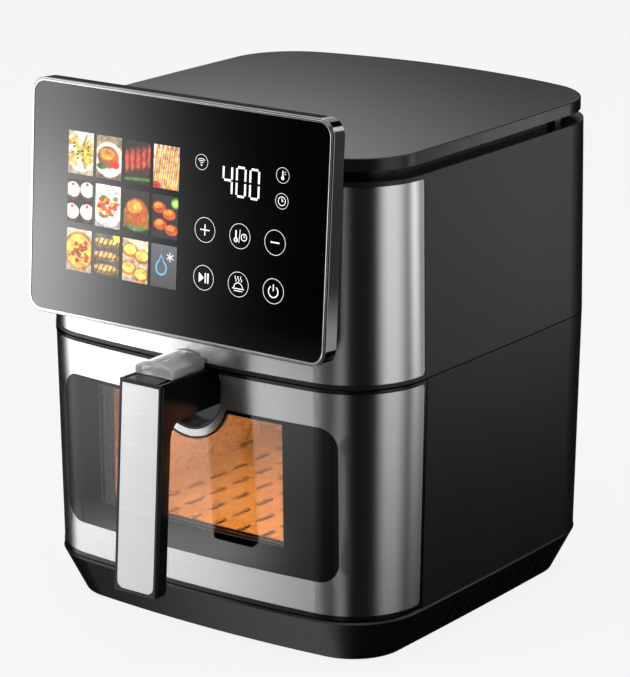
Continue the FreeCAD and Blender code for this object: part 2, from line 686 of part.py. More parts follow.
def motor_body():
    """Motor can with a running bore for the shaft."""
    z = ROOF_Z + 26
    can = rod(MOTOR_R, V(0, FAN_Y, z), V(0, FAN_Y, z + MOTOR_H))
    can = can.makeFillet(3.0, [e for e in can.Edges if e.BoundBox.ZMin > z + MOTOR_H - 1])
    boss = rod(9.0, V(0, FAN_Y, z + MOTOR_H - 1), V(0, FAN_Y, z + MOTOR_H + 4))
    bore = rod(SHAFT_R + SHAFT_FIT, V(0, FAN_Y, z - 1), V(0, FAN_Y, z + MOTOR_H + 6))
    return can.fuse(boss).cut(bore)


def motor_shaft():
    """Shaft through the motor that carries both fans."""
    return rod(SHAFT_R, V(0, FAN_Y, ROOF_Z - 19), V(0, FAN_Y, ROOF_Z + 26 + MOTOR_H + 7))


def fan(disc_r, hub_r, disc_z, blade_z0, blade_z1, blades, lean):
    """Radial fan: hub, back disc and leaning straight blades."""
    z0 = min(disc_z, blade_z0)
    z1 = max(disc_z + 1.2, blade_z1)
    pieces = [rod(hub_r, V(0, 0, z0), V(0, 0, z1)), rod(disc_r, V(0, 0, disc_z), V(0, 0, disc_z + 1.2))]
    for k in range(blades):
        blade = box(hub_r + 4, disc_r - 1, -0.7, 0.7, blade_z0, blade_z1)
        blade.rotate(V(hub_r + 4, 0, 0), V(0, 0, 1), lean)
        blade = blade.common(rod(disc_r, V(0, 0, blade_z0 - 1), V(0, 0, blade_z1 + 1)))
        blade.rotate(V(0, 0, 0), V(0, 0, 1), 360.0 * k / blades)
        pieces.append(blade)
    wheel = fuse(pieces).cut(rod(SHAFT_R + SHAFT_FIT, V(0, 0, z0 - 1), V(0, 0, z1 + 1)))
    wheel.translate(V(0, FAN_Y, 0))
    return wheel


def convection_fan():
    """Fan inside the chamber, blades below its disc."""
    return fan(FAN_R, 12.0, ROOF_Z - 6.5, ROOF_Z - 16, ROOF_Z - 6, 12, 24)


def cooling_fan():
    """Fan between the chamber roof and the motor plate, blades above its disc."""
    return fan(COOL_FAN_R, 10.0, ROOF_Z + 5, ROOF_Z + 6, ROOF_Z + 19, 10, 20)


def power_board():
    """Upright power board beside the chamber with relay, capacitor and transformer."""
    x = LINER_X + 6
    z = DECK_Z + DECK_T
    board = box(x, x + 1.6, -42, 66, z, z + 62)
    blocks = [box(x - 20, x + 0.2, -36, -8, z + 36, z + 58), box(x - 24, x + 0.2, 0, 32, z + 35, z + 60)]
    blocks.append(rod(8.0, V(x - 22, 50, z + 46), V(x + 0.2, 50, z + 46)))
    return fuse([board] + blocks)


# ================================================================ drawer
def drawer_front_frame():
    """Wrap-round drawer front: wall with top and bottom returns, handle tub, window bed and posts to the pan."""
    z0 = DRAWER_Z0
    z1 = DRAWER_Z1
    frame = block(z0, z1, 0).cut(block(z0 + 2.2, z1 - 2.2, FRAME_IN)).cut(block(z0 - 1, z1 + 1, 10))
    frame = frame.common(front_zone(SPLIT_Y, 0, SEAM_Z))
    posts = []
    post_x = PAN_X - 17
    for x in (-post_x, post_x):
        posts.append(box(x - 6, x + 6, FRONT, PAN_FRONT, 42, 52))
        posts.append(box(x - 6, x + 6, FRONT, PAN_FRONT, WINDOW_TOP_Z + 1, RIM_Z - 1))
    held = Part.makeCompound(posts).common(block(z0, z1, FRAME_IN - 1))
    tub = recess_shape(RECESS_R + RECESS_WALL, FRONT - 5, TUB_BACK + RECESS_WALL)
    tub = tub.common(block(z0, z1, FRAME_IN - 1))
    frame = fuse([frame, tub] + held.Solids)
    bed = skin_shape(z0 + STEEL_MARGIN, z1 - STEEL_MARGIN + 0.6, SKIN_FIT).cut(block(z0 - 1, z1 + 1, BED_IN))
    frame = frame.cut(bed)
    seat = window_shape(SKIN_FIT, FRONT - 10, FRONT + 40).cut(block(z0, z1, 0.1 + WINDOW_T + 0.1))
    frame = frame.cut(seat)
    half = SIGHT_W / 2 + 7
    sight = rounded(-half, half, FRONT - 5, PAN_FRONT - 1, SIGHT_BOTTOM_Z - 8, WINDOW_TOP_Z - 2.5, 8.0, "y")
    sight = sight.cut(recess_shape(RECESS_R + RECESS_WALL + 1.5, FRONT - 10, PAN_FRONT + 10))
    frame = frame.cut(sight)
    frame = frame.cut(recess_shape(RECESS_R, FRONT - 20, TUB_BACK))
    frame = frame.cut(box(-18, 18, TUB_BACK - 1, PAN_FRONT + 9, KEEPER_TOP, SEAM_Z))
    return frame.cut(box(-6, 6, TUB_BACK - 1, TUB_BACK + 9, LATCH_Z0 - 0.7, LATCH_Z0 + LATCH_H + 0.7))


LATCH_Z0 = 166.0
LATCH_H = 3.6
KEEPER_TOP = 173.0
KEEPER_T = 1.2


def drawer_front_steel():
    """Brushed skin of the drawer front with cut-outs for window and handle recess."""
    z0 = DRAWER_Z0 + STEEL_MARGIN
    z1 = DRAWER_Z1 - STEEL_MARGIN + 0.6
    sheet = ring(z0 - 1, z1 + 0.5, STEEL_RECESS, SKIN_IN).common(skin_shape(z0, z1, 0))
    sheet = sheet.cut(window_shape(0.3, FRONT - 20, FRONT + 40))
    return sheet.cut(recess_shape(RECESS_R + 1.2, FRONT - 20, FRONT + 40))


def window_glass():
    """Curved outer pane that follows the drawer front."""
    pane = ring(WINDOW_BOTTOM_Z - 5, WINDOW_TOP_Z + 5, 0.1, 0.1 + WINDOW_T)
    return pane.common(window_shape(0, FRONT - 20, FRONT + 40))


def drawer_pan():
    """Outer pan on side runners, open at the top, with a sight opening in its front wall."""
    x = PAN_X
    pan = rounded(-x, x, PAN_FRONT, PAN_REAR, PAN_FLOOR_Z, RIM_Z, BASKET_R + 5, "z")
    t = PAN_T
    pan = pan.cut(rounded(-x + t, x - t, PAN_FRONT + t, PAN_REAR - t, PAN_FLOOR_Z + t, RIM_Z + 1, BASKET_R + 4, "z"))
    runner_x = RAIL_X - RAIL_T - RUN_GAP
    runners = []
    for side in (-1, 1):
        low, high = sorted((side * (x - 0.5), side * runner_x))
        runners.append(box(low, high, PAN_FRONT + 30, PAN_REAR - BASKET_R - 5, RIM_Z - PAN_T - 0.4, RIM_Z))
    pan = fuse([pan] + runners)
    half = SIGHT_W / 2 + 4
    return pan.cut(rounded(-half, half, PAN_FRONT - 5, PAN_FRONT + 3, SIGHT_BOTTOM_Z - 5, RIM_Z - 3, 6.0, "y"))


def basket():
    """Inner basket with a rolled rim over the pan, a perforated floor and a sight opening."""
    x = BASKET_X
    t = PAN_T
    body = rounded(-x, x, BASKET_FRONT, BASKET_REAR, BASKET_Z0, RIM_Z + 1.1, BASKET_R, "z")
    rim = rounded(-PAN_X - 0.8, PAN_X + 0.8, PAN_FRONT - 0.4, PAN_REAR + 0.4, RIM_Z + TOUCH_GAP, RIM_Z + 1.1, BASKET_R + 6, "z")
    inner = rounded(-x + t, x - t, BASKET_FRONT + t, BASKET_REAR - t, BASKET_Z0 + t, RIM_Z + 3, BASKET_R - t, "z")
    body = body.fuse(rim).cut(inner)
    body = body.cut(box(-17, 17, PAN_FRONT - 3, BASKET_FRONT, RIM_Z - 2, RIM_Z + 3))
    holes = []
    for i in range(-4, 5):
        for j in range(-4, 5):
            p = V(i * 18, (BASKET_FRONT + BASKET_REAR) / 2 + j * 20, BASKET_Z0 - 1)
            holes.append(rod(4.0, p, p + V(0, 0, 4)))
    body = body.cut(Part.makeCompound(holes))
    half = SIGHT_W / 2
    return body.cut(rounded(-half, half, BASKET_FRONT - 2, BASKET_FRONT + 2, SIGHT_BOTTOM_Z, SIGHT_TOP_Z, 6.0, "y"))


def basket_window():
    """Flat inner pane on the basket's front wall."""
    half = SIGHT_W / 2 + 5
    return rounded(-half, half, BASKET_FRONT - 3.2, BASKET_FRONT, SIGHT_BOTTOM_Z - 5, SIGHT_TOP_Z + 4, 8.0, "y")


def window_seal():
    """Silicone frame that presses the inner pane to the basket."""
    half = SIGHT_W / 2 + 6
    y0 = BASKET_FRONT - 4.4
    y1 = BASKET_FRONT - 3.2
    pad = rounded(-half, half, y0, y1, SIGHT_BOTTOM_Z - 6, SIGHT_TOP_Z + 5, 9.0, "y")
    half = half - 5
    return pad.cut(rounded(-half, half, y0 - 1, y1 + 1, SIGHT_BOTTOM_Z - 1, SIGHT_TOP_Z, 6.0, "y"))


def handle_bracket():
    """Steel strap from the basket's front wall over the pan's rim into the handle's neck."""
    arm = box(-16, 16, TUB_BACK - 11.5, BASKET_FRONT, KEEPER_TOP + 2, NECK_TOP - 2.2)
    plate = box(-16, 16, BASKET_FRONT - 3.0, BASKET_FRONT, SIGHT_TOP_Z + 5.5, NECK_TOP - 2.2)
    return fuse([arm, plate])


def handle_screws():
    """Two button-head rivets inside the basket that hold the strap."""
    heads = []
    for x in (-10, 10):
        y = BASKET_FRONT + PAN_T
        heads.append(rod(2.4, V(x, y, RIM_Z - 3.4), V(x, y + 1.6, RIM_Z - 3.4)))
    return Part.makeCompound(heads)


def grip_front(z):
    """Front plane of the grip at a height; it leans like the panel."""
    return HANDLE_TOP_Y - (NECK_TOP - z) * TILT


def handle_body():
    """Upright grip and its neck into the recess, hollow where the button and latch work."""
    top = NECK_TOP
    bottom = HANDLE_BOTTOM_Z
    neck_z = top - NECK_H
    back = TUB_BACK - 0.2
    profile = [(grip_front(top), top), (back, top), (back, neck_z)]
    profile += [(grip_front(neck_z) + HANDLE_T, neck_z), (grip_front(bottom) + HANDLE_T, bottom)]
    profile += [(grip_front(bottom), bottom)]
    points = [V(-HANDLE_W / 2, y, z) for y, z in profile]
    solid = Part.Face(Part.makePolygon(points + points[:1])).extrude(V(HANDLE_W, 0, 0))
    across = [e for e in solid.Edges if abs(e.tangentAt(e.FirstParameter).x) > 0.9]
    inner = [e for e in across if abs(e.CenterOfMass.z - neck_z) < 0.1 and e.CenterOfMass.y < TUB_BACK - 5]
    solid = solid.makeFillet(12.0, inner)
    across = [e for e in solid.Edges if e.Curve.TypeId == "Part::GeomLine" and abs(e.tangentAt(e.FirstParameter).x) > 0.9]
    low_rear = [e for e in across if e.CenterOfMass.z < bottom + 1 and e.CenterOfMass.y > grip_front(bottom) + 5]
    solid = solid.makeFillet(4.0, low_rear)
    sides = [e for e in solid.Edges if abs(abs(e.CenterOfMass.x) - HANDLE_W / 2) < 0.01 and e.CenterOfMass.y < back - 1]
    solid = solid.makeFillet(HANDLE_EDGE_R, sides)
    solid = solid.cut(trim_slab(0.1, -1.0))
    solid = solid.cut(box(-9, 9, BUTTON_Y0 - 0.6, BUTTON_Y1 + 0.6, LATCH_Z0 - 3, top + 1))
    solid = solid.cut(box(-6, 6, BUTTON_Y1 - 2, back + 1, LATCH_Z0 - 0.5, LATCH_Z0 + LATCH_H + 0.5))
    solid = solid.cut(box(-16.1, 16.1, TUB_BACK - 11.6, back + 1, KEEPER_TOP + 1.9, top - 2.1))
    for x in (-GUARD_TRACK_X, GUARD_TRACK_X):
        solid = solid.cut(box(x - 1.2, x + 1.2, HANDLE_TOP_Y + 0.9, back + 1, top - 1.6, top + 1))
    return solid


BUTTON_Y0 = FRONT - 18.0
BUTTON_Y1 = FRONT - 4.0
BUTTON_TRAVEL = 3.0
GUARD_TRACK_X = 13.3
GUARD_W = 29.0
GUARD_TRAVEL = 12.0


def trim_slab(grow, proud):
    """Plate of the handle trim, parallel to the leaning front plane."""
    half = TRIM_W / 2 + grow
    top = NECK_TOP - 2.6 + grow
    low = HANDLE_BOTTOM_Z + 2.2 - grow
    slab = box(-half, half, proud, TRIM_T + grow, 0, (top - low) / math.cos(math.radians(PANEL_TILT)))
    ends = [e for e in slab.Edges if abs(e.tangentAt(e.FirstParameter).y) > 0.9 and e.CenterOfMass.z < 1]
    slab = slab.makeFillet(5.0 + grow, ends)
    slab.rotate(V(0, 0, 0), V(1, 0, 0), -PANEL_TILT)
    slab.translate(V(0, grip_front(low), low))
    return slab


def handle_trim():
    """Brushed steel plate let into the front of the grip."""
    return trim_slab(0, 0.05)


def latch_keeper():
    """Steel plate behind the tub wall with the slot that the latch enters."""
    y0 = TUB_BACK + RECESS_WALL
    plate = box(-14, 14, y0, y0 + KEEPER_T, LATCH_Z0 - 5, KEEPER_TOP - 0.5)
    return plate.cut(box(-5.6, 5.6, y0 - 1, y0 + 3, LATCH_Z0 - 0.6, LATCH_Z0 + LATCH_H + 0.6))


def button_guard():
    """Clear sliding hood over the release button, arched across, closed at the front, open at the rear."""
    z0 = NECK_TOP + 0.4
    y0 = FRONT - 34.5
    y1 = FRONT - 1.4
    half = GUARD_W / 2
    profile_low = 5.0
    crown = 9.0
    arch = Part.Wire([
        Part.makeLine(V(-half, y0, z0), V(half, y0, z0)),
        Part.makeLine(V(half, y0, z0), V(half, y0, z0 + profile_low)),
        Part.Arc(V(half, y0, z0 + profile_low), V(0, y0, z0 + crown), V(-half, y0, z0 + profile_low)).toShape(),
        Part.makeLine(V(-half, y0, z0 + profile_low), V(-half, y0, z0)),
    ])
    hood = Part.Face(arch).extrude(V(0, y1 - y0, 0))
    hood = hood.makeFillet(1.6, [e for e in hood.Edges if abs(e.CenterOfMass.y - y0) < 0.01 and e.CenterOfMass.z > z0 + 4])
    hollow = rounded(-half + 1.8, half - 1.8, y0 + 6.4, y1 + 4, z0 - 1, z0 + profile_low - 0.2, 2.0, "z")
    hood = hood.cut(hollow)
    keys = []
    for x in (-GUARD_TRACK_X, GUARD_TRACK_X):
        keys.append(box(x - 0.8, x + 0.8, y0 + 2, y1 - 2, z0 - 1.4, z0 + 1))
    for k in range(2):
        keys.append(box(4, 5.2, y0 + 5 + 4 * k, y0 + 6.4 + 4 * k, z0 + 7, z0 + crown + 0.4))
    return fuse([hood] + keys)


def release_button():
    """Push key under the hood with a wedge leg that works the latch."""
    top = NECK_TOP + 2.6
    key = rounded(-8.5, 8.5, BUTTON_Y0, BUTTON_Y1, NECK_TOP - 5, top, 2.0, "z")
    leg_y = BUTTON_Y1 - 1.2
    points = [(leg_y - 3.4, NECK_TOP - 4.5), (leg_y, NECK_TOP - 4.5), (leg_y, LATCH_Z0 + 3.4)]
    points += [(leg_y - 0.6, LATCH_Z0 + 3.4), (leg_y - 3.4, LATCH_Z0 + 6.2)]
    corners = [V(-3, y, z) for y, z in points]
    leg = Part.Face(Part.makePolygon(corners + corners[:1])).extrude(V(6, 0, 0))
    return fuse([key, leg])


def button_spring():
    """Return spring under the key, drawn as its sleeve."""
    y = BUTTON_Y0 + 2.4
    return tube(2.2, 1.4, V(0, y, LATCH_Z0 - 3 + TOUCH_GAP), V(0, y, NECK_TOP - 5 - TOUCH_GAP))


def release_latch():
    """Sliding bolt: its slanted window is pushed forward by the key's leg, out of the keeper."""
    y0 = BUTTON_Y1 - 6.0
    y1 = TUB_BACK + RECESS_WALL + KEEPER_T + 0.3
    bolt = box(-5, 5, y0, y1, LATCH_Z0, LATCH_Z0 + LATCH_H)
    lead = BUTTON_Y1 - 1.2
    z1 = LATCH_Z0 + LATCH_H
    points = [(lead - 4.4, z1 + 0.1), (lead + 4.5, z1 + 0.1), (lead + 4.5, LATCH_Z0 - 0.1), (lead - 0.6, LATCH_Z0 - 0.1)]
    corners = [V(-4, y, z) for y, z in points]
    return bolt.cut(Part.Face(Part.makePolygon(corners + corners[:1])).extrude(V(8, 0, 0)))


# ================================================================ crisper
def crisper_plate():
    """Perforated tray that lies in the basket, with a lifting loop."""
    gap = 3.0
    x = BASKET_X - PAN_T - gap
    y0 = BASKET_FRONT + PAN_T + gap
    y1 = BASKET_REAR - PAN_T - gap
    plate = rounded(-x, x, y0, y1, CRISPER_Z, CRISPER_Z + CRISPER_T, BASKET_R - 4, "z")
    slots = []
    middle = (y0 + y1) / 2
    for i in range(-4, 5):
        for j in range(-3, 4):
            cx = i * 20.0
            cy = middle + j * 26.0
            if abs(i) + abs(j) > 0:
                slots.append(rounded(cx - 2.5, cx + 2.5, cy - 9, cy + 9, CRISPER_Z - 1, CRISPER_Z + 3, 2.4, "z"))
    plate = plate.cut(Part.makeCompound(slots))
    loop = tube(9.0, 6.0, V(0, middle - 1.0, CRISPER_Z + 6), V(0, middle + 1.0, CRISPER_Z + 6))
    loop = loop.common(box(-12, 12, middle - 3, middle + 3, CRISPER_Z + 0.5, CRISPER_Z + 20))
    legs = []
    for sx in (-1, 1):
        for y in (y0 + 24, y1 - 24):
            legs.append(rod(3.0, V(sx * (x - 14), y, BASKET_Z0 + PAN_T + 0.3), V(sx * (x - 14), y, CRISPER_Z + 0.5)))
    return fuse([plate, loop] + legs)


def crisper_bumpers():
    """Silicone stubs on the tray's edge that keep it off the basket's coating."""
    gap = 3.0
    x = BASKET_X - PAN_T - gap
    stubs = []
    for side in (-1, 1):
        for y in (BASKET_FRONT + 50, BASKET_REAR - 50):
            low, high = sorted((side * (x - 2), side * (x + gap - 0.6)))
            stub = rounded(low, high, y - 6, y + 6, CRISPER_Z - 2, CRISPER_Z + CRISPER_T + 2, 1.2, "z")
            low, high = sorted((side * (x - 6), side * x))
            stubs.append(stub.cut(box(low, high, y - 8, y + 8, CRISPER_Z, CRISPER_Z + CRISPER_T)))
    return Part.makeCompound(stubs)


NODES = {
    "base_tray": base_tray, "rubber_feet": rubber_feet, "base_screws": base_screws, "base_deck": base_deck,
    "lower_shell": lower_shell, "cord_gland": cord_gland, "upper_shell": upper_shell,
    "upper_front_steel": upper_front_steel, "top_collar": top_collar, "top_cover": top_cover,
    "panel_housing": panel_housing, "panel_bezel": panel_bezel, "panel_glass": panel_glass,
    "display_board": display_board, "panel_back_cover": panel_back_cover, "panel_bracket": panel_bracket,
    "inner_liner": inner_liner, "mid_deck": mid_deck, "heat_reflector": heat_reflector,
    "heating_element": heating_element, "element_clips": element_clips, "element_guard": element_guard,
    "rail_right": lambda: rail(1), "rail_left": lambda: rail(-1), "microswitch": microswitch,
    "thermal_fuse": thermal_fuse, "temperature_sensor": temperature_sensor, "oven_lamp": oven_lamp,
    "lamp_cover": lamp_cover, "exhaust_duct": exhaust_duct, "rear_grille": rear_grille,
    "motor_bracket": motor_bracket, "motor_body": motor_body, "motor_shaft": motor_shaft,
    "convection_fan": convection_fan, "cooling_fan": cooling_fan, "power_board": power_board,
    "drawer_front_frame": drawer_front_frame, "drawer_front_steel": drawer_front_steel,
    "window_glass": window_glass, "drawer_pan": drawer_pan, "basket": basket, "basket_window": basket_window,
    "window_seal": window_seal, "handle_bracket": handle_bracket, "handle_screws": handle_screws,
    "handle_body": handle_body, "handle_trim": handle_trim, "latch_keeper": latch_keeper,
    "button_guard": button_guard, "release_button": release_button, "button_spring": button_spring,
    "release_latch": release_latch, "crisper_plate": crisper_plate, "crisper_bumpers": crisper_bumpers,
}

# The stored frame stands on the feet, centred under the overall box from the grip's toe to the rear grille.
MID_Y = (grip_front(HANDLE_BOTTOM_Z) + REAR + GRILLE_PROUD) / 2

for name, make in NODES.items():
    shape = make()
    shape.translate(V(0, -MID_Y, FOOT_H))
    shape.exportStep(os.path.join("parts", name + ".step"))
    print(name, len(shape.Solids), round(shape.Volume, 1), shape.isValid())
print("shift", -MID_Y, FOOT_H)
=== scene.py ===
import math

import bpy
import numpy as np
from mathutils import Matrix, Vector


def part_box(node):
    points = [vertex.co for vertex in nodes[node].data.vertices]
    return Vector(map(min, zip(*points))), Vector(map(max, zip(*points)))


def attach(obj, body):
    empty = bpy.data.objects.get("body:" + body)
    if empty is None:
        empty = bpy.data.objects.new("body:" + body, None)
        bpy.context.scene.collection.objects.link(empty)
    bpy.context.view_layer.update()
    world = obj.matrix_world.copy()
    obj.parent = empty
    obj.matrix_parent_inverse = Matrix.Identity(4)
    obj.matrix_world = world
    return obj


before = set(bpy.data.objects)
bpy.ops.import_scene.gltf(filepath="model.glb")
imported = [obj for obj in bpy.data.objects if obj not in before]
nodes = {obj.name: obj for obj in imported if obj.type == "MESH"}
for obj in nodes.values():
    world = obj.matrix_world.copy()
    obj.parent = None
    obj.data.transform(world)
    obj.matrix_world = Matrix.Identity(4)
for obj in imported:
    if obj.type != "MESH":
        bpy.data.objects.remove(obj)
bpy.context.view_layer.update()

# ------------------------------------------------------------------ studio
# Plain pale floor, one soft lamp overhead and one from the front left. A round reflector screen that only
# mirror-like surfaces see stands around the fryer: pale panels, dark gaps and a dark lower edge.
scene = bpy.context.scene
scene.view_settings.view_transform = "Standard"

camera_data = bpy.data.cameras.new("studio_camera")
camera_data.sensor_width = 36.0
camera_data.sensor_fit = "AUTO"
camera_data.lens = 163.41
camera_data.clip_start = 0.05
camera_data.clip_end = 60.0
camera = bpy.data.objects.new("studio_camera", camera_data)
scene.collection.objects.link(camera)
azimuth, elevation = math.radians(35.88), math.radians(16.21)
backward = Vector((
    math.sin(azimuth) * math.cos(elevation),
    -math.cos(azimuth) * math.cos(elevation),
    math.sin(elevation),
))
camera.location = (1.16056, -1.58892, 0.74596)
camera.rotation_euler = backward.to_track_quat("Z", "Y").to_euler()
scene.camera = camera

world = bpy.data.worlds.new("studio_room")
scene.world = world
world.use_nodes = True
room = world.node_tree
room.nodes.clear()
room_out = room.nodes.new("ShaderNodeOutputWorld")
room_light = room.nodes.new("ShaderNodeBackground")
room_light.inputs["Color"].default_value = (1.0, 1.0, 1.0, 1.0)
room_light.inputs["Strength"].default_value = 0.55
room_seen = room.nodes.new("ShaderNodeBackground")
room_seen.inputs["Color"].default_value = (0.922, 0.922, 0.922, 1.0)
room_seen.inputs["Strength"].default_value = 1.0
room_dark = room.nodes.new("ShaderNodeBackground")
room_dark.inputs["Color"].default_value = (0.02, 0.02, 0.02, 1.0)
room_path = room.nodes.new("ShaderNodeLightPath")
room_gloss = room.nodes.new("ShaderNodeMixShader")
room.links.new(room_path.outputs["Is Glossy Ray"], room_gloss.inputs[0])
room.links.new(room_light.outputs[0], room_gloss.inputs[1])
room.links.new(room_dark.outputs[0], room_gloss.inputs[2])
room_mix = room.nodes.new("ShaderNodeMixShader")
room.links.new(room_path.outputs["Is Camera Ray"], room_mix.inputs[0])
room.links.new(room_gloss.outputs[0], room_mix.inputs[1])
room.links.new(room_seen.outputs[0], room_mix.inputs[2])
room.links.new(room_mix.outputs[0], room_out.inputs["Surface"])


def grid_mesh(name, points, closed_u=False):
    """Mesh of a grid of points (rows, columns, 3): each cell of four neighbours is one face."""
    rows, columns = points.shape[:2]
    index = np.arange(rows * columns).reshape(rows, columns)
    right = np.roll(index, -1, axis=1) if closed_u else index[:, 1:]
    left = index if closed_u else index[:, :-1]
    faces = np.stack([left[:-1], right[:-1], right[1:], left[1:]], axis=-1).reshape(-1, 4)
    mesh = bpy.data.meshes.new(name)
    mesh.from_pydata(points.reshape(-1, 3).tolist(), [], faces.tolist())
    return mesh


def step(value, low, high):
    """Smooth ramp from 0 at low to 1 at high."""
    t = np.clip((value - low) / (high - low), 0.0, 1.0)
    return t * t * (3.0 - 2.0 * t)


def bump(value, centre, half_width):
    """Smooth hump, 1 at the centre and 0 beyond the half width."""
    return 1.0 - step(np.abs(value - centre), 0.0, half_width)


def screen_light(angle, height):
    """Brightness of the reflector screen, by compass angle and height.

    The angle is 0 in front and 90 at the right, in degrees, and the height is in metres.
    """
    left_end = step(angle, -84, -64)
    front = left_end * (1.0 - step(angle, -32, 0)) + 0.14 * step(angle, -40, -10) * (1.0 - step(angle, 0, 20))
    value = 1.02 * front * (0.34 + 0.66 * step(height, -0.36, -0.14)) * (1.0 - step(height, -0.10, 0.06))
    value = value + 1.9 * front * step(height, 0.36, 0.50) * (1.0 - step(height, 1.0, 1.3))
    value = value + 0.7 * front * (1.0 - step(height, -1.5, -0.9))
    value = value + 1.6 * left_end * (1.0 - step(angle, -32, -18)) * bump(height, -0.315, 0.055)
    falling = np.exp(-(np.maximum(angle + 40.5, 0.0) / 4.6) ** 1.7) * left_end
    tall = step(height, -0.03, 0.04) * (1.0 - step(height, 0.28, 0.38))
    tall = tall * (1.0 - 0.5 * step(height, 0.12, 0.27))
    value = value + falling * 6.2 * tall
    value = value + 0.22 * bump(angle, 20, 13)
    low = step(height, -0.42, 0.04) * (1.0 - step(height, 0.9, 1.3))
    value = value + 0.85 * step(angle, 61, 80) * (1.0 - step(angle, 90, 118)) * low
    side = step(angle, 108, 124) * (1.0 - step(angle, 146, 152)) * step(height, -0.27, 0.11)
    notch = step(angle, 127, 130) * (1.0 - step(angle, 137, 140)) * step(height, -0.10, -0.04)
    value = value + 1.36 * side * (1.0 - 0.95 * notch)
    back = 1.0 - step(angle, -128, -104)
    value = value + back * (0.05 + 1.35 * step(height, 0.505, 0.66)) * (0.35 + 0.65 * step(angle, -158, -138))
    return np.where(angle > 153, 0.004, value + 0.004) + 1.5 * step(height, 1.5, 2.2)


angles = np.radians(np.linspace(-180.0, 179.0, 360))
heights = np.concatenate([
    np.linspace(-5.0, -0.95, 28),
    np.linspace(-0.9, 1.2, 106),
    np.linspace(1.25, 4.5, 27),
])
turn, tall_at = np.meshgrid(angles, heights)
screen_points = np.stack([1.05 * np.sin(turn), -1.05 * np.cos(turn), tall_at], axis=-1)
screen_mesh = grid_mesh("reflector_screen", screen_points, closed_u=True)
glow = screen_mesh.attributes.new("glow", "FLOAT", "POINT")
glow.data.foreach_set("value", screen_light(np.degrees(turn), tall_at).ravel().astype(np.float32))
screen = bpy.data.objects.new("reflector_screen", screen_mesh)
scene.collection.objects.link(screen)
screen_look = bpy.data.materials.new("reflector_cloth")
screen_look.use_nodes = True
tree = screen_look.node_tree
tree.nodes.clear()
lit = tree.nodes.new("ShaderNodeEmission")
level = tree.nodes.new("ShaderNodeAttribute")
level.attribute_name = "glow"
tree.links.new(level.outputs["Fac"], lit.inputs["Strength"])
tree.links.new(lit.outputs[0], tree.nodes.new("ShaderNodeOutputMaterial").inputs["Surface"])
screen_mesh.materials.append(screen_look)
screen.visible_camera = False
screen.visible_diffuse = False
screen.visible_shadow = False
screen.visible_transmission = False

floor_points = np.array([[[-9, -9, 0], [9, -9, 0]], [[-9, 9, 0], [9, 9, 0]]], dtype=float)
floor = bpy.data.objects.new("studio_floor", grid_mesh("studio_floor", floor_points))
scene.collection.objects.link(floor)
floor.visible_glossy = False
floor_look = bpy.data.materials.new("pale_floor")
floor_look.use_nodes = True
tree = floor_look.node_tree
tree.nodes.clear()
matt = tree.nodes.new("ShaderNodeBsdfDiffuse")
matt.inputs["Color"].default_value = (0.62, 0.62, 0.62, 1.0)
pale = tree.nodes.new("ShaderNodeEmission")
pale.inputs["Color"].default_value = (0.968, 0.968, 0.968, 1.0)
path = tree.nodes.new("ShaderNodeLightPath")
share = tree.nodes.new("ShaderNodeMath")
share.operation = "MULTIPLY"
share.inputs[1].default_value = 0.90
blend = tree.nodes.new("ShaderNodeMixShader")
tree.links.new(path.outputs["Is Camera Ray"], share.inputs[0])
tree.links.new(share.outputs[0], blend.inputs[0])
tree.links.new(matt.outputs[0], blend.inputs[1])
tree.links.new(pale.outputs[0], blend.inputs[2])
tree.links.new(blend.outputs[0], tree.nodes.new("ShaderNodeOutputMaterial").inputs["Surface"])
floor.data.materials.append(floor_look)


def soft_lamp(name, place, aim, size, watts, mirrored=False):
    """Square area lamp at a place, turned to face an aim point."""
    data = bpy.data.lights.new(name, "AREA")
    data.shape = "SQUARE"
    data.size = size
    data.energy = watts
    lamp = bpy.data.objects.new(name, data)
    scene.collection.objects.link(lamp)
    lamp.location = place
    lamp.rotation_euler = (Vector(place) - Vector(aim)).to_track_quat("Z", "Y").to_euler()
    lamp.visible_glossy = mirrored
    return lamp


soft_lamp("overhead_lamp", (0.2, -0.3, 1.9), (0, 0, 0.2), 1.4, 16.0)
soft_lamp("front_left_lamp", (-1.3, -1.7, 1.2), (0, 0, 0.2), 1.1, 14.0)


# ------------------------------------------------------------------ shells, skirt and collar
# Injection-moulded ABS in charcoal and black with a fine spark-eroded grain; the two shells meet on a lip at
# the seam and are screwed from below, the skirt carries the vents and the collar makes the shadow gap.
def finish(name, colour, roughness, metallic=0.0, **sockets):
    """Principled material with its constant sockets set; returns material, tree and shader."""
    material = bpy.data.materials.new(name)
    material.use_nodes = True
    shader = material.node_tree.nodes["Principled BSDF"]
    shader.inputs["Base Color"].default_value = (*colour, 1.0)
    shader.inputs["Roughness"].default_value = roughness
    shader.inputs["Metallic"].default_value = metallic
    for socket, value in sockets.items():
        shader.inputs[socket.replace("_", " ")].default_value = value
    return material, material.node_tree, shader


def noise_field(tree, stretch, scale, detail=3.0):
    """Noise over Object coordinates, stretched by three factors."""
    place = tree.nodes.new("ShaderNodeTexCoord")
    mapping = tree.nodes.new("ShaderNodeMapping")
    mapping.inputs["Scale"].default_value = stretch
    noise = tree.nodes.new("ShaderNodeTexNoise")
    noise.inputs["Scale"].default_value = scale
    noise.inputs["Detail"].default_value = detail
    tree.links.new(place.outputs["Object"], mapping.inputs["Vector"])
    tree.links.new(mapping.outputs["Vector"], noise.inputs["Vector"])
    return noise


def spread(tree, source, low, high, target):
    """Map a 0..1 field onto low..high and feed it to a socket."""
    ramp = tree.nodes.new("ShaderNodeMapRange")
    ramp.inputs["From Min"].default_value = 0.3
    ramp.inputs["From Max"].default_value = 0.7
    ramp.inputs["To Min"].default_value = low
    ramp.inputs["To Max"].default_value = high
    tree.links.new(source, ramp.inputs["Value"])
    tree.links.new(ramp.outputs["Result"], target)


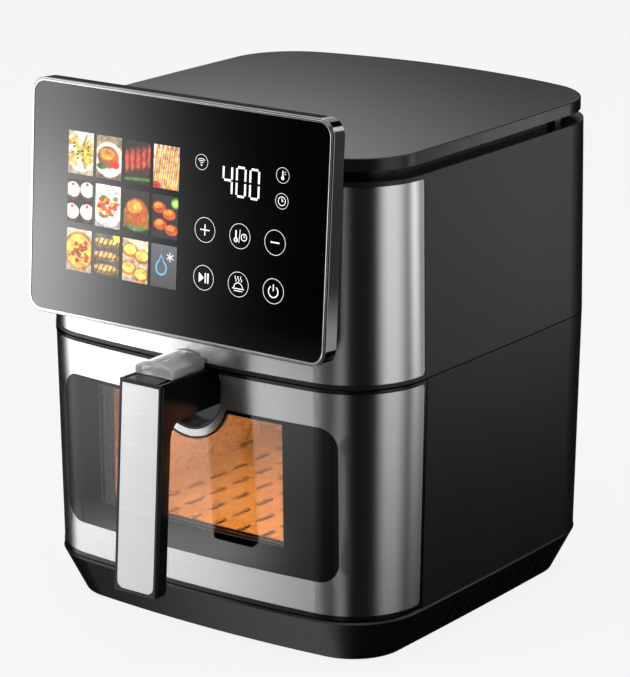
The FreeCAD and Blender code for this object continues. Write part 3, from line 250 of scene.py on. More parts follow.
def tint(tree, source, dark, pale, target):
    """Mix two colours by a field."""
    ramp = tree.nodes.new("ShaderNodeValToRGB")
    ramp.color_ramp.elements[0].position = 0.35
    ramp.color_ramp.elements[1].position = 0.68
    ramp.color_ramp.elements[0].color = (*dark, 1.0)
    ramp.color_ramp.elements[1].color = (*pale, 1.0)
    tree.links.new(source, ramp.inputs["Fac"])
    tree.links.new(ramp.outputs["Color"], target)


def relief(tree, source, shader, strength, distance):
    """Bump from a field."""
    bumps = tree.nodes.new("ShaderNodeBump")
    bumps.inputs["Strength"].default_value = strength
    bumps.inputs["Distance"].default_value = distance
    tree.links.new(source, bumps.inputs["Height"])
    tree.links.new(bumps.outputs["Normal"], shader.inputs["Normal"])


def moulded(name, dark, pale, rough_low, rough_high, grain, strength, **sockets):
    """Moulded plastic: cloudy tone, fine grain in roughness and relief."""
    material, tree, shader = finish(name, dark, rough_low, **sockets)
    cloud = noise_field(tree, (1, 1, 1), 14.0)
    fine = noise_field(tree, (1, 1, 1), grain, 2.0)
    tint(tree, cloud.outputs["Fac"], dark, pale, shader.inputs["Base Color"])
    spread(tree, fine.outputs["Fac"], rough_low, rough_high, shader.inputs["Roughness"])
    relief(tree, fine.outputs["Fac"], shader, strength, 0.0002)
    return material


def dress(material, *names):
    """Give CAD nodes one material in every slot."""
    for name in names:
        slots = nodes[name].data.materials
        for i in range(len(slots)):
            slots[i] = material
        if not len(slots):
            slots.append(material)


charcoal = moulded("charcoal_abs", (0.006, 0.0062, 0.0068), (0.0075, 0.0078, 0.0085), 0.30, 0.36, 900.0, 0.06)
black_abs = moulded("black_abs", (0.0035, 0.0035, 0.0038), (0.0048, 0.0048, 0.0052), 0.26, 0.34, 900.0, 0.06)
dress(charcoal, "lower_shell", "upper_shell")
dress(black_abs, "base_tray", "base_deck", "top_collar", "rear_grille", "panel_bracket", "panel_back_cover")

# ------------------------------------------------------------------ feet, grommet and seals
# Black rubber pads under the skirt, the rubber grommet where a lead would enter, and silicone round the inner
# pane and on the tray: soft, dull and slightly dusty.
rubber = moulded("black_rubber", (0.012, 0.012, 0.012), (0.022, 0.022, 0.021), 0.68, 0.82, 500.0, 0.25)
silicone = moulded("grey_silicone", (0.045, 0.045, 0.047), (0.060, 0.060, 0.062), 0.50, 0.62, 700.0, 0.12)
dress(rubber, "rubber_feet", "cord_gland")
dress(silicone, "window_seal", "crisper_bumpers")

# ------------------------------------------------------------------ brushed skins and grip plate
# Stainless sheet, 0.8 mm, brushed along the belt so the hairlines run level round the corners; glued into the
# moulded beds of the shell, the drawer front and the grip.
def brushed(name, dark, pale, rough_low, rough_high, stretch, turn, spread_ratio=0.75):
    """Brushed steel: hairlines from noise stretched along the brushing, rough across it."""
    material, tree, shader = finish(
        name, pale, rough_low, 1.0, Anisotropic=spread_ratio, Anisotropic_Rotation=turn
    )
    lines = noise_field(tree, stretch, 1.0, 4.0)
    tint(tree, lines.outputs["Fac"], dark, pale, shader.inputs["Base Color"])
    spread(tree, lines.outputs["Fac"], rough_low, rough_high, shader.inputs["Roughness"])
    return material


belt_steel = brushed(
    "belt_brushed_steel", (0.78, 0.78, 0.785), (0.82, 0.82, 0.825), 0.25, 0.27, (3, 3, 4200), 0.25
)
grip_steel = brushed(
    "grip_brushed_steel", (0.72, 0.72, 0.725), (0.80, 0.80, 0.80), 0.30, 0.38, (3, 3, 4200), 0.0, 0.0
)
dress(belt_steel, "upper_front_steel", "drawer_front_steel")
dress(grip_steel, "handle_trim")

# ------------------------------------------------------------------ top cover
# Steel lid plate, sprayed satin grey with a fine metallic flake, clipped on the collar.
lid_grey, tree, shader = finish("satin_grey_paint", (0.007, 0.0075, 0.010), 0.20)
flake = noise_field(tree, (1, 1, 1), 2600.0, 1.0)
tint(tree, flake.outputs["Fac"], (0.006, 0.0065, 0.009), (0.009, 0.0095, 0.013), shader.inputs["Base Color"])
spread(tree, noise_field(tree, (1, 1, 1), 60.0).outputs["Fac"], 0.20, 0.22, shader.inputs["Roughness"])
dress(lid_grey, "top_cover")

# ------------------------------------------------------------------ panel frame and bead
# Die-cast frame, polished and dark plated, with a bright bead around the glass.
def plated(name, dark, pale, rough_low, rough_high):
    """Plated metal with faint clouding from polishing."""
    material, tree, shader = finish(name, pale, rough_low, 1.0)
    cloud = noise_field(tree, (1, 1, 1), 35.0)
    tint(tree, cloud.outputs["Fac"], dark, pale, shader.inputs["Base Color"])
    spread(tree, cloud.outputs["Fac"], rough_low, rough_high, shader.inputs["Roughness"])
    return material


dark_chrome = plated("dark_plated_frame", (0.34, 0.345, 0.35), (0.40, 0.405, 0.41), 0.05, 0.07)
bright_chrome = plated("bright_bead", (0.42, 0.42, 0.43), (0.50, 0.50, 0.51), 0.16, 0.22)
dress(dark_chrome, "panel_housing")
dress(bright_chrome, "panel_bezel")

# ------------------------------------------------------------------ panel glass
# Tempered cover glass, printed black on its back and bonded into the frame; the display shines through it.
black_glass, tree, shader = finish("black_cover_glass", (0.004, 0.004, 0.0045), 0.05, IOR=1.62)
smear = noise_field(tree, (1, 1, 1), 22.0)
tint(
    tree, smear.outputs["Fac"],
    (0.0006, 0.0006, 0.0008), (0.0012, 0.0012, 0.0014), shader.inputs["Base Color"],
)
spread(tree, smear.outputs["Fac"], 0.02, 0.04, shader.inputs["Roughness"])
dress(black_glass, "panel_glass")

# ------------------------------------------------------------------ display tiles
# Backlit colour display behind the glass: twelve small food pictures, four across and three down. Each is a
# dish painted point by point on a fine grid, shown a hair in front of the glass.
glass_low, glass_high = (np.array(c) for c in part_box("panel_glass"))
PANEL_LEAN = math.radians(3.82)
panel_out = np.array([0.0, -math.cos(PANEL_LEAN), math.sin(PANEL_LEAN)])
panel_up = np.array([0.0, math.sin(PANEL_LEAN), math.cos(PANEL_LEAN)])
panel_middle = (glass_low + glass_high) / 2 + panel_out * 0.00105


def on_panel(u, v, lift):
    """Points on the leaning glass: u mm to the right, v mm up, lift mm in front of it."""
    u, v = np.broadcast_arrays(u, v)
    across = u[..., None] * 0.001 * np.array([1.0, 0.0, 0.0])
    return panel_middle + across + v[..., None] * 0.001 * panel_up + lift * 0.001 * panel_out


def value_noise(x, y, seed):
    """Smooth lattice noise: random heights at whole points, blended between them."""
    table = np.random.default_rng(seed).random((64, 64))
    i, j = np.floor(x).astype(int), np.floor(y).astype(int)
    fx, fy = x - i, y - j
    fx, fy = fx * fx * (3 - 2 * fx), fy * fy * (3 - 2 * fy)
    a, b = table[i % 64, j % 64], table[(i + 1) % 64, j % 64]
    c, d = table[i % 64, (j + 1) % 64], table[(i + 1) % 64, (j + 1) % 64]
    return (a * (1 - fx) + b * fx) * (1 - fy) + (c * (1 - fx) + d * fx) * fy


def lay(picture, mask, colour):
    """Lay a colour over a picture by a mask."""
    return picture * (1 - mask[..., None]) + np.asarray(colour) * mask[..., None]


def disc(x, y, cx, cy, rx, ry, soft=0.04):
    """Soft-edged ellipse mask."""
    return 1.0 - step(np.hypot((x - cx) / rx, (y - cy) / ry), 1.0 - soft * 2, 1.0 + soft)


def strip(x, y, ax, ay, bx, by, width):
    """Soft-edged mask of a thick line from a to b."""
    dx, dy = bx - ax, by - ay
    t = np.clip(((x - ax) * dx + (y - ay) * dy) / (dx * dx + dy * dy), 0, 1)
    return 1.0 - step(np.hypot(x - ax - t * dx, y - ay - t * dy), width * 0.75, width * 1.1)


def dish(kind, x, y):
    """Colours of one food picture; x runs 0..1 across and y 0..1.35 up."""
    rough = value_noise(x * 9 + 3, y * 9 + 3, kind) * 0.6 + value_noise(x * 23, y * 23, kind + 50) * 0.4
    grounds = [
        (.78, .72, .60), (.55, .47, .36), (.10, .08, .07), (.80, .78, .74),
        (.16, .12, .10), (.82, .80, .76), (.14, .10, .08), (.07, .07, .08),
        (.74, .70, .62), (.30, .32, .30), (.80, .74, .62), (.34, .35, .36),
    ]
    picture = np.ones(x.shape + (3,)) * np.asarray(grounds[kind]) * (0.75 + 0.4 * y[..., None] / 1.35)
    rng = np.random.default_rng(900 + kind)
    if kind == 0:
        picture = lay(picture, disc(x, y, .5, .72, .48, .50), (.93, .92, .88))
        for _ in range(46):
            cx, cy, a = rng.uniform(.2, .8), rng.uniform(.42, 1.02), rng.uniform(0, 3.1)
            tone = rng.uniform(.8, 1.1)
            dx, dy = .15 * math.cos(a), .15 * math.sin(a)
            ends = (cx - dx, cy - dy, cx + dx, cy + dy)
            picture = lay(picture, strip(x, y, *ends, .028), np.array((.93, .68, .25)) * tone)
        for _ in range(14):
            cx, cy = rng.uniform(.25, .75), rng.uniform(.5, .95)
            picture = lay(picture, disc(x, y, cx, cy, .04, .03), (.25, .42, .10))
    elif kind == 1:
        picture = lay(picture, disc(x, y, .5, .62, .47, .42), (.92, .90, .86))
        picture = lay(picture, disc(x, y, .48, .68, .33, .27), (.62, .33, .10))
        picture = lay(picture, disc(x, y, .44, .76, .22, .14), (.85, .55, .20))
        picture = lay(picture, disc(x, y, .70, .52, .12, .10), (.86, .14, .08))
        picture = lay(picture, disc(x, y, .28, .45, .14, .08), (.22, .40, .12))
    elif kind == 2:
        picture = lay(picture, disc(x, y, .5, .66, .46, .40), (.22, .12, .07))
        for k in range(5):
            cx = .16 + .17 * k
            picture = lay(picture, disc(x, y, cx, .68 + .04 * k, .11, .30), (.38, .16, .08))
            picture = lay(picture, disc(x, y, cx + .02, .68 + .04 * k, .07, .24), (.74, .26, .18))
        picture = lay(picture, strip(x, y, .1, .25, .85, .30, .04), (.28, .44, .12))
    elif kind == 3:
        for k in range(6):
            shift = .13 * k
            picture = lay(picture, strip(x, y, .14 + shift, .15, .26 + shift, 1.15, .050), (.80, .45, .15))
            picture = lay(picture, strip(x, y, .15 + shift, .22, .26 + shift, 1.08, .022), (.97, .74, .38))
        picture = lay(picture, disc(x, y, .2, .2, .14, .12), (.80, .12, .06))
    elif kind == 4:
        for cx, cy in ((.28, .95), (.72, .98), (.26, .42), (.72, .45)):
            picture = lay(picture, disc(x, y, cx, cy - .10, .18, .17), (.30, .20, .16))
            picture = lay(picture, disc(x, y, cx, cy, .22, .19), (.94, .90, .84))
            picture = lay(picture, disc(x, y, cx + .02, cy + .04, .12, .09), (.99, .97, .93))
            picture = lay(picture, disc(x, y, cx, cy + .12, .04, .04), (.80, .10, .12))
    elif kind == 5:
        picture = lay(picture, disc(x, y, .5, .62, .47, .44), (.96, .95, .92))
        for _ in range(34):
            cx, cy = rng.uniform(.22, .78), rng.uniform(.38, .88)
            tone = [(.90, .30, .08), (.28, .52, .12), (.95, .72, .15), (.80, .12, .10)][rng.integers(4)]
            picture = lay(picture, disc(x, y, cx, cy, rng.uniform(.05, .1), rng.uniform(.04, .07)), tone)
    elif kind == 6:
        picture = lay(picture, disc(x, y, .5, .50, .48, .30), (.34, .44, .16))
        picture = lay(picture, disc(x, y, .5, .66, .36, .34), (.66, .30, .07))
        picture = lay(picture, disc(x, y, .44, .78, .22, .16), (.92, .58, .20))
        picture = lay(picture, strip(x, y, .72, .5, .95, .30, .07), (.72, .36, .10))
        picture = lay(picture, strip(x, y, .28, .5, .08, .30, .07), (.72, .36, .10))
    elif kind == 7:
        for k, (cx, cy) in enumerate(((.32, .88), (.62, .74), (.36, .48), (.70, .38))):
            picture = lay(picture, disc(x, y, cx, cy, .20, .14), (.70, .26, .05))
            picture = lay(picture, disc(x, y, cx - .03, cy + .04, .12, .07), (.93, .52, .14))
        picture = lay(picture, disc(x, y, .80, 1.02, .13, .13), (.30, .62, .10))
        picture = lay(picture, disc(x, y, .80, 1.02, .09, .09), (.66, .86, .36))
    elif kind == 8:
        picture = lay(picture, disc(x, y, .5, .66, .48, .48), (.70, .42, .14))
        picture = lay(picture, disc(x, y, .5, .66, .41, .41), (.93, .72, .28))
        for _ in range(16):
            a, r = rng.uniform(0, 6.3), rng.uniform(0, .32)
            px, py = .5 + r * math.cos(a), .66 + r * math.sin(a)
            picture = lay(picture, disc(x, y, px, py, .065, .06), (.74, .14, .06))
        for _ in range(12):
            a, r = rng.uniform(0, 6.3), rng.uniform(0, .34)
            px, py = .5 + r * math.cos(a), .66 + r * math.sin(a)
            picture = lay(picture, disc(x, y, px, py, .04, .025), (.20, .44, .10))
    elif kind == 9:
        for k in range(3):
            cy = .34 + .32 * k
            picture = lay(picture, disc(x, y, .48, cy, .42, .13), (.55, .40, .22))
            picture = lay(picture, disc(x, y, .46, cy + .03, .34, .07), (.88, .70, .42))
            for j in range(5):
                ends = (.2 + .14 * j, cy - .08, .28 + .14 * j, cy + .09)
                picture = lay(picture, strip(x, y, *ends, .014), (.22, .12, .06))
        picture = lay(picture, disc(x, y, .82, 1.15, .14, .12), (.95, .86, .25))
    elif kind == 10:
        for cx, cy in ((.34, .92), (.70, .80), (.30, .48), (.68, .36)):
            picture = lay(picture, disc(x, y, cx, cy, .24, .18), (.70, .40, .12))
            picture = lay(picture, disc(x, y, cx, cy + .02, .19, .13), (.96, .76, .36))
    else:
        off_axis = np.abs(x - .40)
        drop = disc(x, y, .40, .62, .23, .25, .02)
        slope = .21 * np.clip((1.08 - y) / .46, 0, 1) ** 1.1
        peak = step(y, .62, .63) * (1 - step(off_axis - slope, -.01, .02))
        hollow = disc(x, y, .40, .62, .17, .19, .02)
        slope = .155 * np.clip((.99 - y) / .37, 0, 1) ** 1.1
        inner = step(y, .62, .63) * (1 - step(off_axis - slope, -.01, .02))
        picture = lay(picture, np.clip(drop + peak, 0, 1), (.42, .74, .92))
        picture = lay(picture, np.clip(hollow + inner, 0, 1), grounds[11])
        for k in range(3):
            a = math.radians(30 + 60 * k)
            dx, dy = .13 * math.cos(a), .13 * math.sin(a)
            picture = lay(picture, strip(x, y, .74 - dx, 1.0 - dy, .74 + dx, 1.0 + dy, .020), (.95, .97, 1.0))
        return picture
    shade = 0.70 + 0.85 * rough[..., None]
    return np.clip(picture * shade, 0.0, 1.0)


TILE_W, TILE_H = 20.4, 27.4
TILE_LEFT = (-87.1, -64.1, -40.9, -17.9)
TILE_TOP = (45.0, 13.7, -18.0)
display_look, tree, shader = finish("display_light", (0.02, 0.02, 0.02), 0.25)
paint = tree.nodes.new("ShaderNodeAttribute")
paint.attribute_name = "picture"
dots = noise_field(tree, (1, 1, 1), 3000.0, 0.0)
tree.links.new(paint.outputs["Color"], shader.inputs["Emission Color"])
spread(tree, dots.outputs["Fac"], 1.05, 1.25, shader.inputs["Emission Strength"])
for row in range(3):
    for column in range(4):
        fx, fy = np.meshgrid(np.linspace(0, 1, 60), np.linspace(0, 1, 80))
        tile_points = on_panel(TILE_LEFT[column] + TILE_W * fx, TILE_TOP[row] - TILE_H + TILE_H * fy, 0.12)
        tile_mesh = grid_mesh("tile", tile_points)
        near = 1.0 if row * 4 + column == 11 else 0.76
        colours = dish(row * 4 + column, 0.5 + near * (fx - 0.5), 0.675 + near * 1.35 * (fy - 0.5))
        linear = np.concatenate([colours ** 2.2, np.ones(colours.shape[:2] + (1,))], axis=-1)
        layer = tile_mesh.color_attributes.new("picture", "FLOAT_COLOR", "POINT")
        layer.data.foreach_set("color", linear.reshape(-1).astype(np.float32))
        tile_mesh.materials.append(display_look)
        tile = bpy.data.objects.new("display_tile_%d_%d" % (row + 1, column + 1), tile_mesh)
        scene.collection.objects.link(tile)
        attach(tile, "housing")

# ------------------------------------------------------------------ panel marks
# Touch keys and read-out lit white through the print: plus, minus, start and pause, power, keep warm, timer,
# wireless, thermometer, clock, and a three-figure seven-segment number.
def ribbon(points, width):
    """Flat strip along a path on the panel: each point is moved half the width to both sides."""
    points = np.asarray(points, dtype=float)
    along = np.gradient(points, axis=0)
    along /= np.maximum(np.linalg.norm(along, axis=1, keepdims=True), 1e-9)
    side = np.stack([-along[:, 1], along[:, 0]], axis=1) * width / 2
    edges = np.stack([points - side, points + side])
    return on_panel(edges[..., 0], edges[..., 1], 0.14)


def arc(cx, cy, radius, start, end, count=33):
    """Points on an arc, angles in degrees."""
    a = np.radians(np.linspace(start, end, count))
    return np.stack([cx + radius * np.cos(a), cy + radius * np.sin(a)], axis=1)


marks = []


def draw(points, width):
    marks.append(ribbon(points, width))


def line(ax, ay, bx, by, width):
    draw([(ax, ay), (bx, by)], width)


KEY_LEFT, KEY_MIDDLE, KEY_RIGHT = 24.0, 51.1, 78.0
KEY_UPPER, KEY_LOWER = -3.7, -34.0
KEYS = {
    "plus": (KEY_LEFT, KEY_UPPER),
    "timer": (KEY_MIDDLE, KEY_UPPER),
    "minus": (KEY_RIGHT, KEY_UPPER),
    "start": (KEY_LEFT, KEY_LOWER),
    "warm": (KEY_MIDDLE, KEY_LOWER),
    "power": (KEY_RIGHT, KEY_LOWER),
}
SMALL = {"wireless": (19.8, 38.4), "heat": (82.0, 38.4), "clock": (82.0, 22.5)}
for cx, cy in KEYS.values():
    draw(arc(cx, cy, 7.8, 0, 360, 65), 0.26)
for cx, cy in SMALL.values():
    draw(arc(cx, cy, 4.8, 0, 360, 49), 0.22)
cx, cy = KEYS["plus"]
line(cx - 3.6, cy, cx + 3.6, cy, 0.7)
line(cx, cy - 3.6, cx, cy + 3.6, 0.7)
cx, cy = KEYS["minus"]
line(cx - 3.4, cy, cx + 3.4, cy, 0.8)
cx, cy = KEYS["start"]
draw([(cx - 3.4, cy), (cx - 1.9, cy), (cx - 0.2, cy)], 1.0)
arrow_x = np.array([[cx - 3.6, cx + 0.2], [cx - 3.6, cx + 0.2]])
arrow_y = np.array([[cy + 3.2, cy], [cy - 3.2, cy]])
marks.append(on_panel(arrow_x, arrow_y, 0.15))
line(cx + 1.5, cy - 3.2, cx + 1.5, cy + 3.2, 1.0)
line(cx + 3.5, cy - 3.2, cx + 3.5, cy + 3.2, 1.0)
cx, cy = KEYS["power"]
draw(arc(cx, cy - 0.3, 3.6, 125, 415), 0.7)
line(cx, cy, cx, cy + 4.2, 0.7)
cx, cy = KEYS["warm"]
draw(arc(cx, cy - 2.4, 3.4, 0, 180, 17), 0.5)
line(cx - 4.6, cy - 2.7, cx + 4.6, cy - 2.7, 0.5)
line(cx - 3.2, cy - 4.1, cx + 3.2, cy - 4.1, 0.5)
for k in (-2.1, 0.0, 2.1):
    s = np.linspace(0, 1, 13)
    draw(np.stack([cx + k + 0.55 * np.sin(s * 6.283), cy + 1.7 + 3.4 * s], axis=1), 0.45)
cx, cy = KEYS["timer"]
draw(arc(cx - 3.0, cy - 2.6, 1.15, 0, 360, 21), 0.8)
line(cx - 3.0, cy - 2.0, cx - 3.0, cy + 3.4, 1.0)
line(cx + 0.2, cy + 4.2, cx - 0.6, cy - 4.2, 0.4)
draw(arc(cx + 3.2, cy - 0.4, 2.1, 0, 360, 25), 0.5)
line(cx + 3.2, cy - 0.4, cx + 3.2, cy + 1.0, 0.4)
line(cx + 3.2, cy - 0.4, cx + 4.2, cy - 0.4, 0.4)
cx, cy = SMALL["wireless"]
draw(arc(cx, cy - 1.8, 0.3, 0, 360, 9), 0.5)
for radius in (1.6, 2.8, 4.0):
    draw(arc(cx, cy - 1.8, radius, 48, 132, 13), 0.36)
cx, cy = SMALL["heat"]
draw(arc(cx, cy - 1.7, 0.8, 0, 360, 17), 0.7)
line(cx, cy - 1.4, cx, cy + 2.8, 0.7)
line(cx + 1.3, cy + 2.2, cx + 2.4, cy + 2.2, 0.35)
line(cx + 1.3, cy + 0.8, cx + 2.4, cy + 0.8, 0.35)
cx, cy = SMALL["clock"]
draw(arc(cx, cy, 2.7, 0, 360, 25), 0.4)
line(cx, cy, cx, cy + 1.9, 0.45)
line(cx, cy, cx + 1.3, cy, 0.45)

DIGIT_H, DIGIT_W, STROKE = 18.0, 6.6, 1.35
SEGMENTS = {
    "top": (0, 1, 1, 1),
    "upper_left": (0, 1, 0, .5),
    "upper_right": (1, 1, 1, .5),
    "middle": (0, .5, 1, .5),
    "lower_left": (0, .5, 0, 0),
    "lower_right": (1, .5, 1, 0),
    "bottom": (0, 0, 1, 0),
}
NUMBER = (("upper_left", "upper_right", "middle", "lower_right"),
          ("top", "upper_left", "upper_right", "lower_left", "lower_right", "bottom"),
          ("top", "upper_left", "upper_right", "lower_left", "lower_right", "bottom"))
for place, lit_segments in enumerate(NUMBER):
    left = 37.0 + 10.3 * place
    for segment in lit_segments:
        ax, ay, bx, by = SEGMENTS[segment]
        a = np.array([left + DIGIT_W * ax, 20.9 + DIGIT_H * ay])
        b = np.array([left + DIGIT_W * bx, 20.9 + DIGIT_H * by])
        cut = (b - a) / np.linalg.norm(b - a) * 0.75
        draw([a + cut, b - cut], STROKE)

mark_meshes = [grid_mesh("mark", m) for m in marks]
mark_points = np.concatenate([m.reshape(-1, 3) for m in marks])
mark_faces, offset = [], 0
for m, mesh in zip(marks, mark_meshes):
    mark_faces += [[i + offset for i in p.vertices] for p in mesh.polygons]
    offset += len(mesh.vertices)
    bpy.data.meshes.remove(mesh)
mark_mesh = bpy.data.meshes.new("panel_marks")
mark_mesh.from_pydata(mark_points.tolist(), [], mark_faces)
white_light, tree, shader = finish(
    "white_key_light", (0.7, 0.7, 0.7), 0.4, Emission_Color=(1.0, 1.0, 1.0, 1.0)
)
flicker = noise_field(tree, (1, 1, 1), 120.0)
spread(tree, flicker.outputs["Fac"], 0.85, 0.98, shader.inputs["Emission Strength"])
mark_mesh.materials.append(white_light)
panel_marks = bpy.data.objects.new("panel_marks", mark_mesh)
scene.collection.objects.link(panel_marks)
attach(panel_marks, "housing")

# ------------------------------------------------------------------ drawer front and window
# Glossy black moulded frame; the curved pane is tempered glass with a ceramic black border fired on its back,
# which leaves a clear sight area in the middle.
def sum_of(tree, operation, a, b):
    """Math node on two sockets or numbers."""
    node = tree.nodes.new("ShaderNodeMath")
    node.operation = operation
    for socket, value in zip(node.inputs, (a, b)):
        if isinstance(value, (int, float)):
            socket.default_value = value
        else:
            tree.links.new(value, socket)
    return node.outputs[0]


def inside(tree, value, low, high, soft):
    """1 between two limits, falling to 0 over a soft width."""
    low_side = sum_of(tree, "MULTIPLY", sum_of(tree, "SUBTRACT", value, low), 1.0 / soft)
    high_side = sum_of(tree, "MULTIPLY", sum_of(tree, "SUBTRACT", high, value), 1.0 / soft)
    node = tree.nodes.new("ShaderNodeClamp")
    tree.links.new(sum_of(tree, "MINIMUM", low_side, high_side), node.inputs[0])
    return node.outputs[0]


def distance_xz(tree, axes, x, z):
    """Distance from a point of the front plane, in metres."""
    from_middle = sum_of(tree, "SUBTRACT", axes.outputs["X"], x)
    across = sum_of(tree, "POWER", sum_of(tree, "ABSOLUTE", from_middle, 0.0), 2.0)
    upward = sum_of(tree, "POWER", sum_of(tree, "SUBTRACT", axes.outputs["Z"], z), 2.0)
    return sum_of(tree, "SQRT", sum_of(tree, "ADD", across, upward), 0.0)


def object_axes(tree):
    """Separate Object coordinates."""
    place = tree.nodes.new("ShaderNodeTexCoord")
    axes = tree.nodes.new("ShaderNodeSeparateXYZ")
    tree.links.new(place.outputs["Object"], axes.inputs[0])
    return axes


NOTCH_Z, NOTCH_R, TUB_R = 0.1688, 0.0322, 0.0256
frame_black, tree, shader = finish("gloss_black_abs", (0.004, 0.004, 0.0045), 0.12)
axes = object_axes(tree)
tub = inside(tree, distance_xz(tree, axes, 0.0, NOTCH_Z), -1.0, TUB_R, 0.0004)
cloud = noise_field(tree, (1, 1, 1), 300.0)
spread(tree, cloud.outputs["Fac"], 0.10, 0.16, shader.inputs["Roughness"])
tub_tint = tree.nodes.new("ShaderNodeMix")
tub_tint.data_type = "RGBA"
tub_tint.inputs["A"].default_value = (0.0035, 0.0035, 0.004, 1.0)
tub_tint.inputs["B"].default_value = (0.042, 0.042, 0.045, 1.0)
tree.links.new(tub, tub_tint.inputs["Factor"])
tree.links.new(tub_tint.outputs["Result"], shader.inputs["Base Color"])
dress(frame_black, "drawer_front_frame")

window_low, window_high = (np.array(c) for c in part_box("window_glass"))
SIGHT_LEFT, SIGHT_RIGHT = -0.0770, 0.0720
SIGHT_LOW, SIGHT_TOP = window_low[2] + 0.0187, window_high[2] - 0.0022
window_look, tree, shader = finish("printed_window_glass", (0.004, 0.004, 0.004), 0.02, IOR=1.7)
axes = object_axes(tree)
clear_x = inside(tree, axes.outputs["X"], SIGHT_LEFT, SIGHT_RIGHT, 0.0004)
clear_z = inside(tree, axes.outputs["Z"], SIGHT_LOW, SIGHT_TOP, 0.0004)
from_notch = distance_xz(tree, axes, 0.0, NOTCH_Z)
clear = sum_of(tree, "MULTIPLY", clear_x, clear_z)
clear = sum_of(tree, "MULTIPLY", clear, inside(tree, from_notch, NOTCH_R, 1.0, 0.0004))
tree.links.new(clear, shader.inputs["Transmission Weight"])
border = tree.nodes.new("ShaderNodeMix")
border.data_type = "RGBA"
border.inputs["A"].default_value = (0.0012, 0.0012, 0.0014, 1.0)
border.inputs["B"].default_value = (0.86, 0.86, 0.86, 1.0)
tree.links.new(clear, border.inputs["Factor"])
tree.links.new(border.outputs["Result"], shader.inputs["Base Color"])
spread(tree, noise_field(tree, (1, 1, 1), 30.0).outputs["Fac"], 0.015, 0.05, shader.inputs["Roughness"])
dress(window_look, "window_glass")

# ------------------------------------------------------------------ inner pane and lamp cup
# Borosilicate glass, clear and polished.
clear_glass, tree, shader = finish(
    "clear_borosilicate", (0.93, 0.95, 0.95), 0.02, IOR=1.47, Transmission_Weight=1.0
)
spread(tree, noise_field(tree, (1, 1, 1), 40.0).outputs["Fac"], 0.01, 0.04, shader.inputs["Roughness"])
dress(clear_glass, "basket_window", "lamp_cover")

# ------------------------------------------------------------------ button hood
# Clear polycarbonate hood that slides over the release key.
hood_clear, tree, shader = finish(
    "clear_polycarbonate", (0.97, 0.97, 0.97), 0.05, IOR=1.5, Transmission_Weight=0.72
)
spread(tree, noise_field(tree, (1, 1, 1), 50.0).outputs["Fac"], 0.03, 0.10, shader.inputs["Roughness"])
dress(hood_clear, "button_guard")

# ------------------------------------------------------------------ grip and key
# Glossy black bakelite grip with a moulded neck, and the key under the hood.
bakelite = moulded("black_bakelite", (0.004, 0.004, 0.0045), (0.006, 0.006, 0.0065), 0.14, 0.22, 400.0, 0.02)
dress(bakelite, "handle_body", "release_button")

# ------------------------------------------------------------------ pan, basket and tray
# Pressed aluminium with a dark speckled non-stick coating, baked on.
nonstick, tree, shader = finish("speckled_nonstick", (0.045, 0.043, 0.042), 0.38)
speck = tree.nodes.new("ShaderNodeTexVoronoi")
speck.inputs["Scale"].default_value = 700.0
place = tree.nodes.new("ShaderNodeTexCoord")
tree.links.new(place.outputs["Object"], speck.inputs["Vector"])
tint(tree, speck.outputs["Distance"], (0.16, 0.15, 0.14), (0.035, 0.033, 0.032), shader.inputs["Base Color"])
spread(tree, noise_field(tree, (1, 1, 1), 90.0).outputs["Fac"], 0.32, 0.44, shader.inputs["Roughness"])
dress(nonstick, "drawer_pan", "basket", "crisper_plate")

# ------------------------------------------------------------------ sheet steel inside
# Galvanised and aluminised sheet: liner, deck, reflector, rails, duct, straps and brackets.
def rolled(name, dark, pale, rough_low, rough_high, metallic=1.0):
    """Rolled metal: long soft streaks and a cloudy spangle."""
    material, tree, shader = finish(name, pale, rough_low, metallic)
    streak = noise_field(tree, (6, 60, 6), 4.0)
    tint(tree, streak.outputs["Fac"], dark, pale, shader.inputs["Base Color"])
    spread(tree, streak.outputs["Fac"], rough_low, rough_high, shader.inputs["Roughness"])
    return material


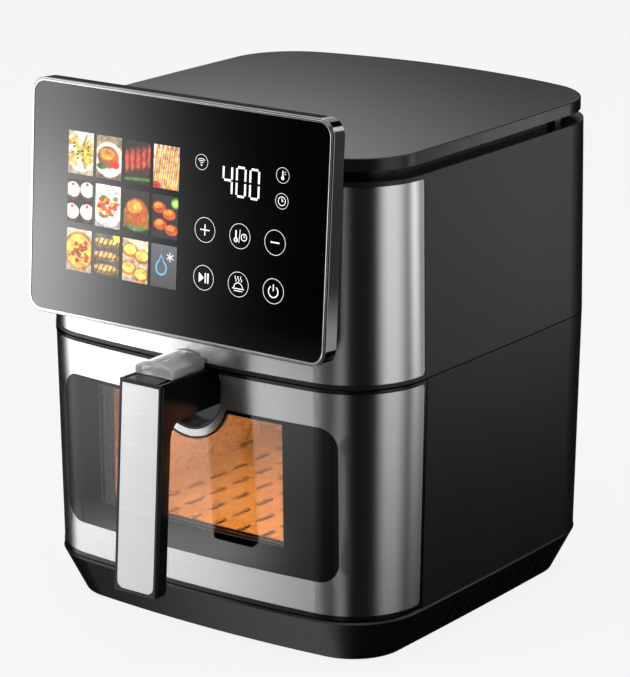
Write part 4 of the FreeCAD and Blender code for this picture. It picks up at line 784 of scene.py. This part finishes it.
sheet_metal = rolled("aluminised_sheet", (0.40, 0.40, 0.41), (0.52, 0.52, 0.53), 0.32, 0.48)
dress(
    sheet_metal,
    "inner_liner", "mid_deck", "heat_reflector", "rail_left", "rail_right", "exhaust_duct", "handle_bracket",
)
dress(sheet_metal, "element_clips", "motor_bracket")
dress(rolled("motor_can_steel", (0.30, 0.30, 0.31), (0.42, 0.42, 0.43), 0.30, 0.45), "motor_body")
fan_metal = rolled("fan_aluminium", (0.62, 0.62, 0.63), (0.74, 0.74, 0.75), 0.28, 0.40)
dress(fan_metal, "convection_fan", "cooling_fan")
bright_wire = rolled("bright_steel", (0.55, 0.55, 0.56), (0.70, 0.70, 0.71), 0.20, 0.32)
dress(
    bright_wire,
    "element_guard", "motor_shaft", "base_screws", "handle_screws", "latch_keeper", "button_spring",
)
dress(bright_wire, "release_latch", "temperature_sensor")

# ------------------------------------------------------------------ heating element
# Tubular heater, steel sheath blued by heat.
dress(rolled("blued_sheath", (0.06, 0.055, 0.06), (0.14, 0.12, 0.11), 0.35, 0.55), "heating_element")

# ------------------------------------------------------------------ boards and ceramic parts
# Green solder mask with copper tone shifts, and off-white ceramic for lamp socket, fuse and switch.
board_green = moulded("green_board", (0.010, 0.075, 0.035), (0.018, 0.11, 0.05), 0.30, 0.42, 260.0, 0.2)
ceramic = moulded("white_ceramic", (0.62, 0.60, 0.56), (0.74, 0.72, 0.68), 0.35, 0.5, 300.0, 0.08)
dress(board_green, "display_board", "power_board")
dress(ceramic, "oven_lamp", "thermal_fuse", "microswitch")

# ------------------------------------------------------------------ lamp light
# Warm light of the oven lamp over the basket.
lamp_low, lamp_high = (np.array(c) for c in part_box("lamp_cover"))
glow_data = bpy.data.lights.new("oven_glow", "SPOT")
glow_data.energy = 16.0
glow_data.color = (1.0, 0.33, 0.06)
glow_data.shadow_soft_size = 0.010
glow_data.spot_size = math.radians(92)
glow_data.spot_blend = 0.35
oven_glow = bpy.data.objects.new("oven_glow", glow_data)
scene.collection.objects.link(oven_glow)
oven_glow.location = ((lamp_low[0] + lamp_high[0]) / 2, (lamp_low[1] + lamp_high[1]) / 2, lamp_low[2] - 0.008)
lamp_aim = Vector(oven_glow.location) - Vector((0.0, 0.03, 0.05))
oven_glow.rotation_euler = lamp_aim.to_track_quat("Z", "Y").to_euler()

wash_data = bpy.data.lights.new("basket_glow", "AREA")
wash_data.shape = "SQUARE"
wash_data.size = 0.15
wash_data.energy = 1.1
wash_data.color = (1.0, 0.36, 0.08)
basket_glow = bpy.data.objects.new("basket_glow", wash_data)
scene.collection.objects.link(basket_glow)
basket_glow.location = (0.0, 0.01, 0.172)
basket_glow.visible_glossy = False
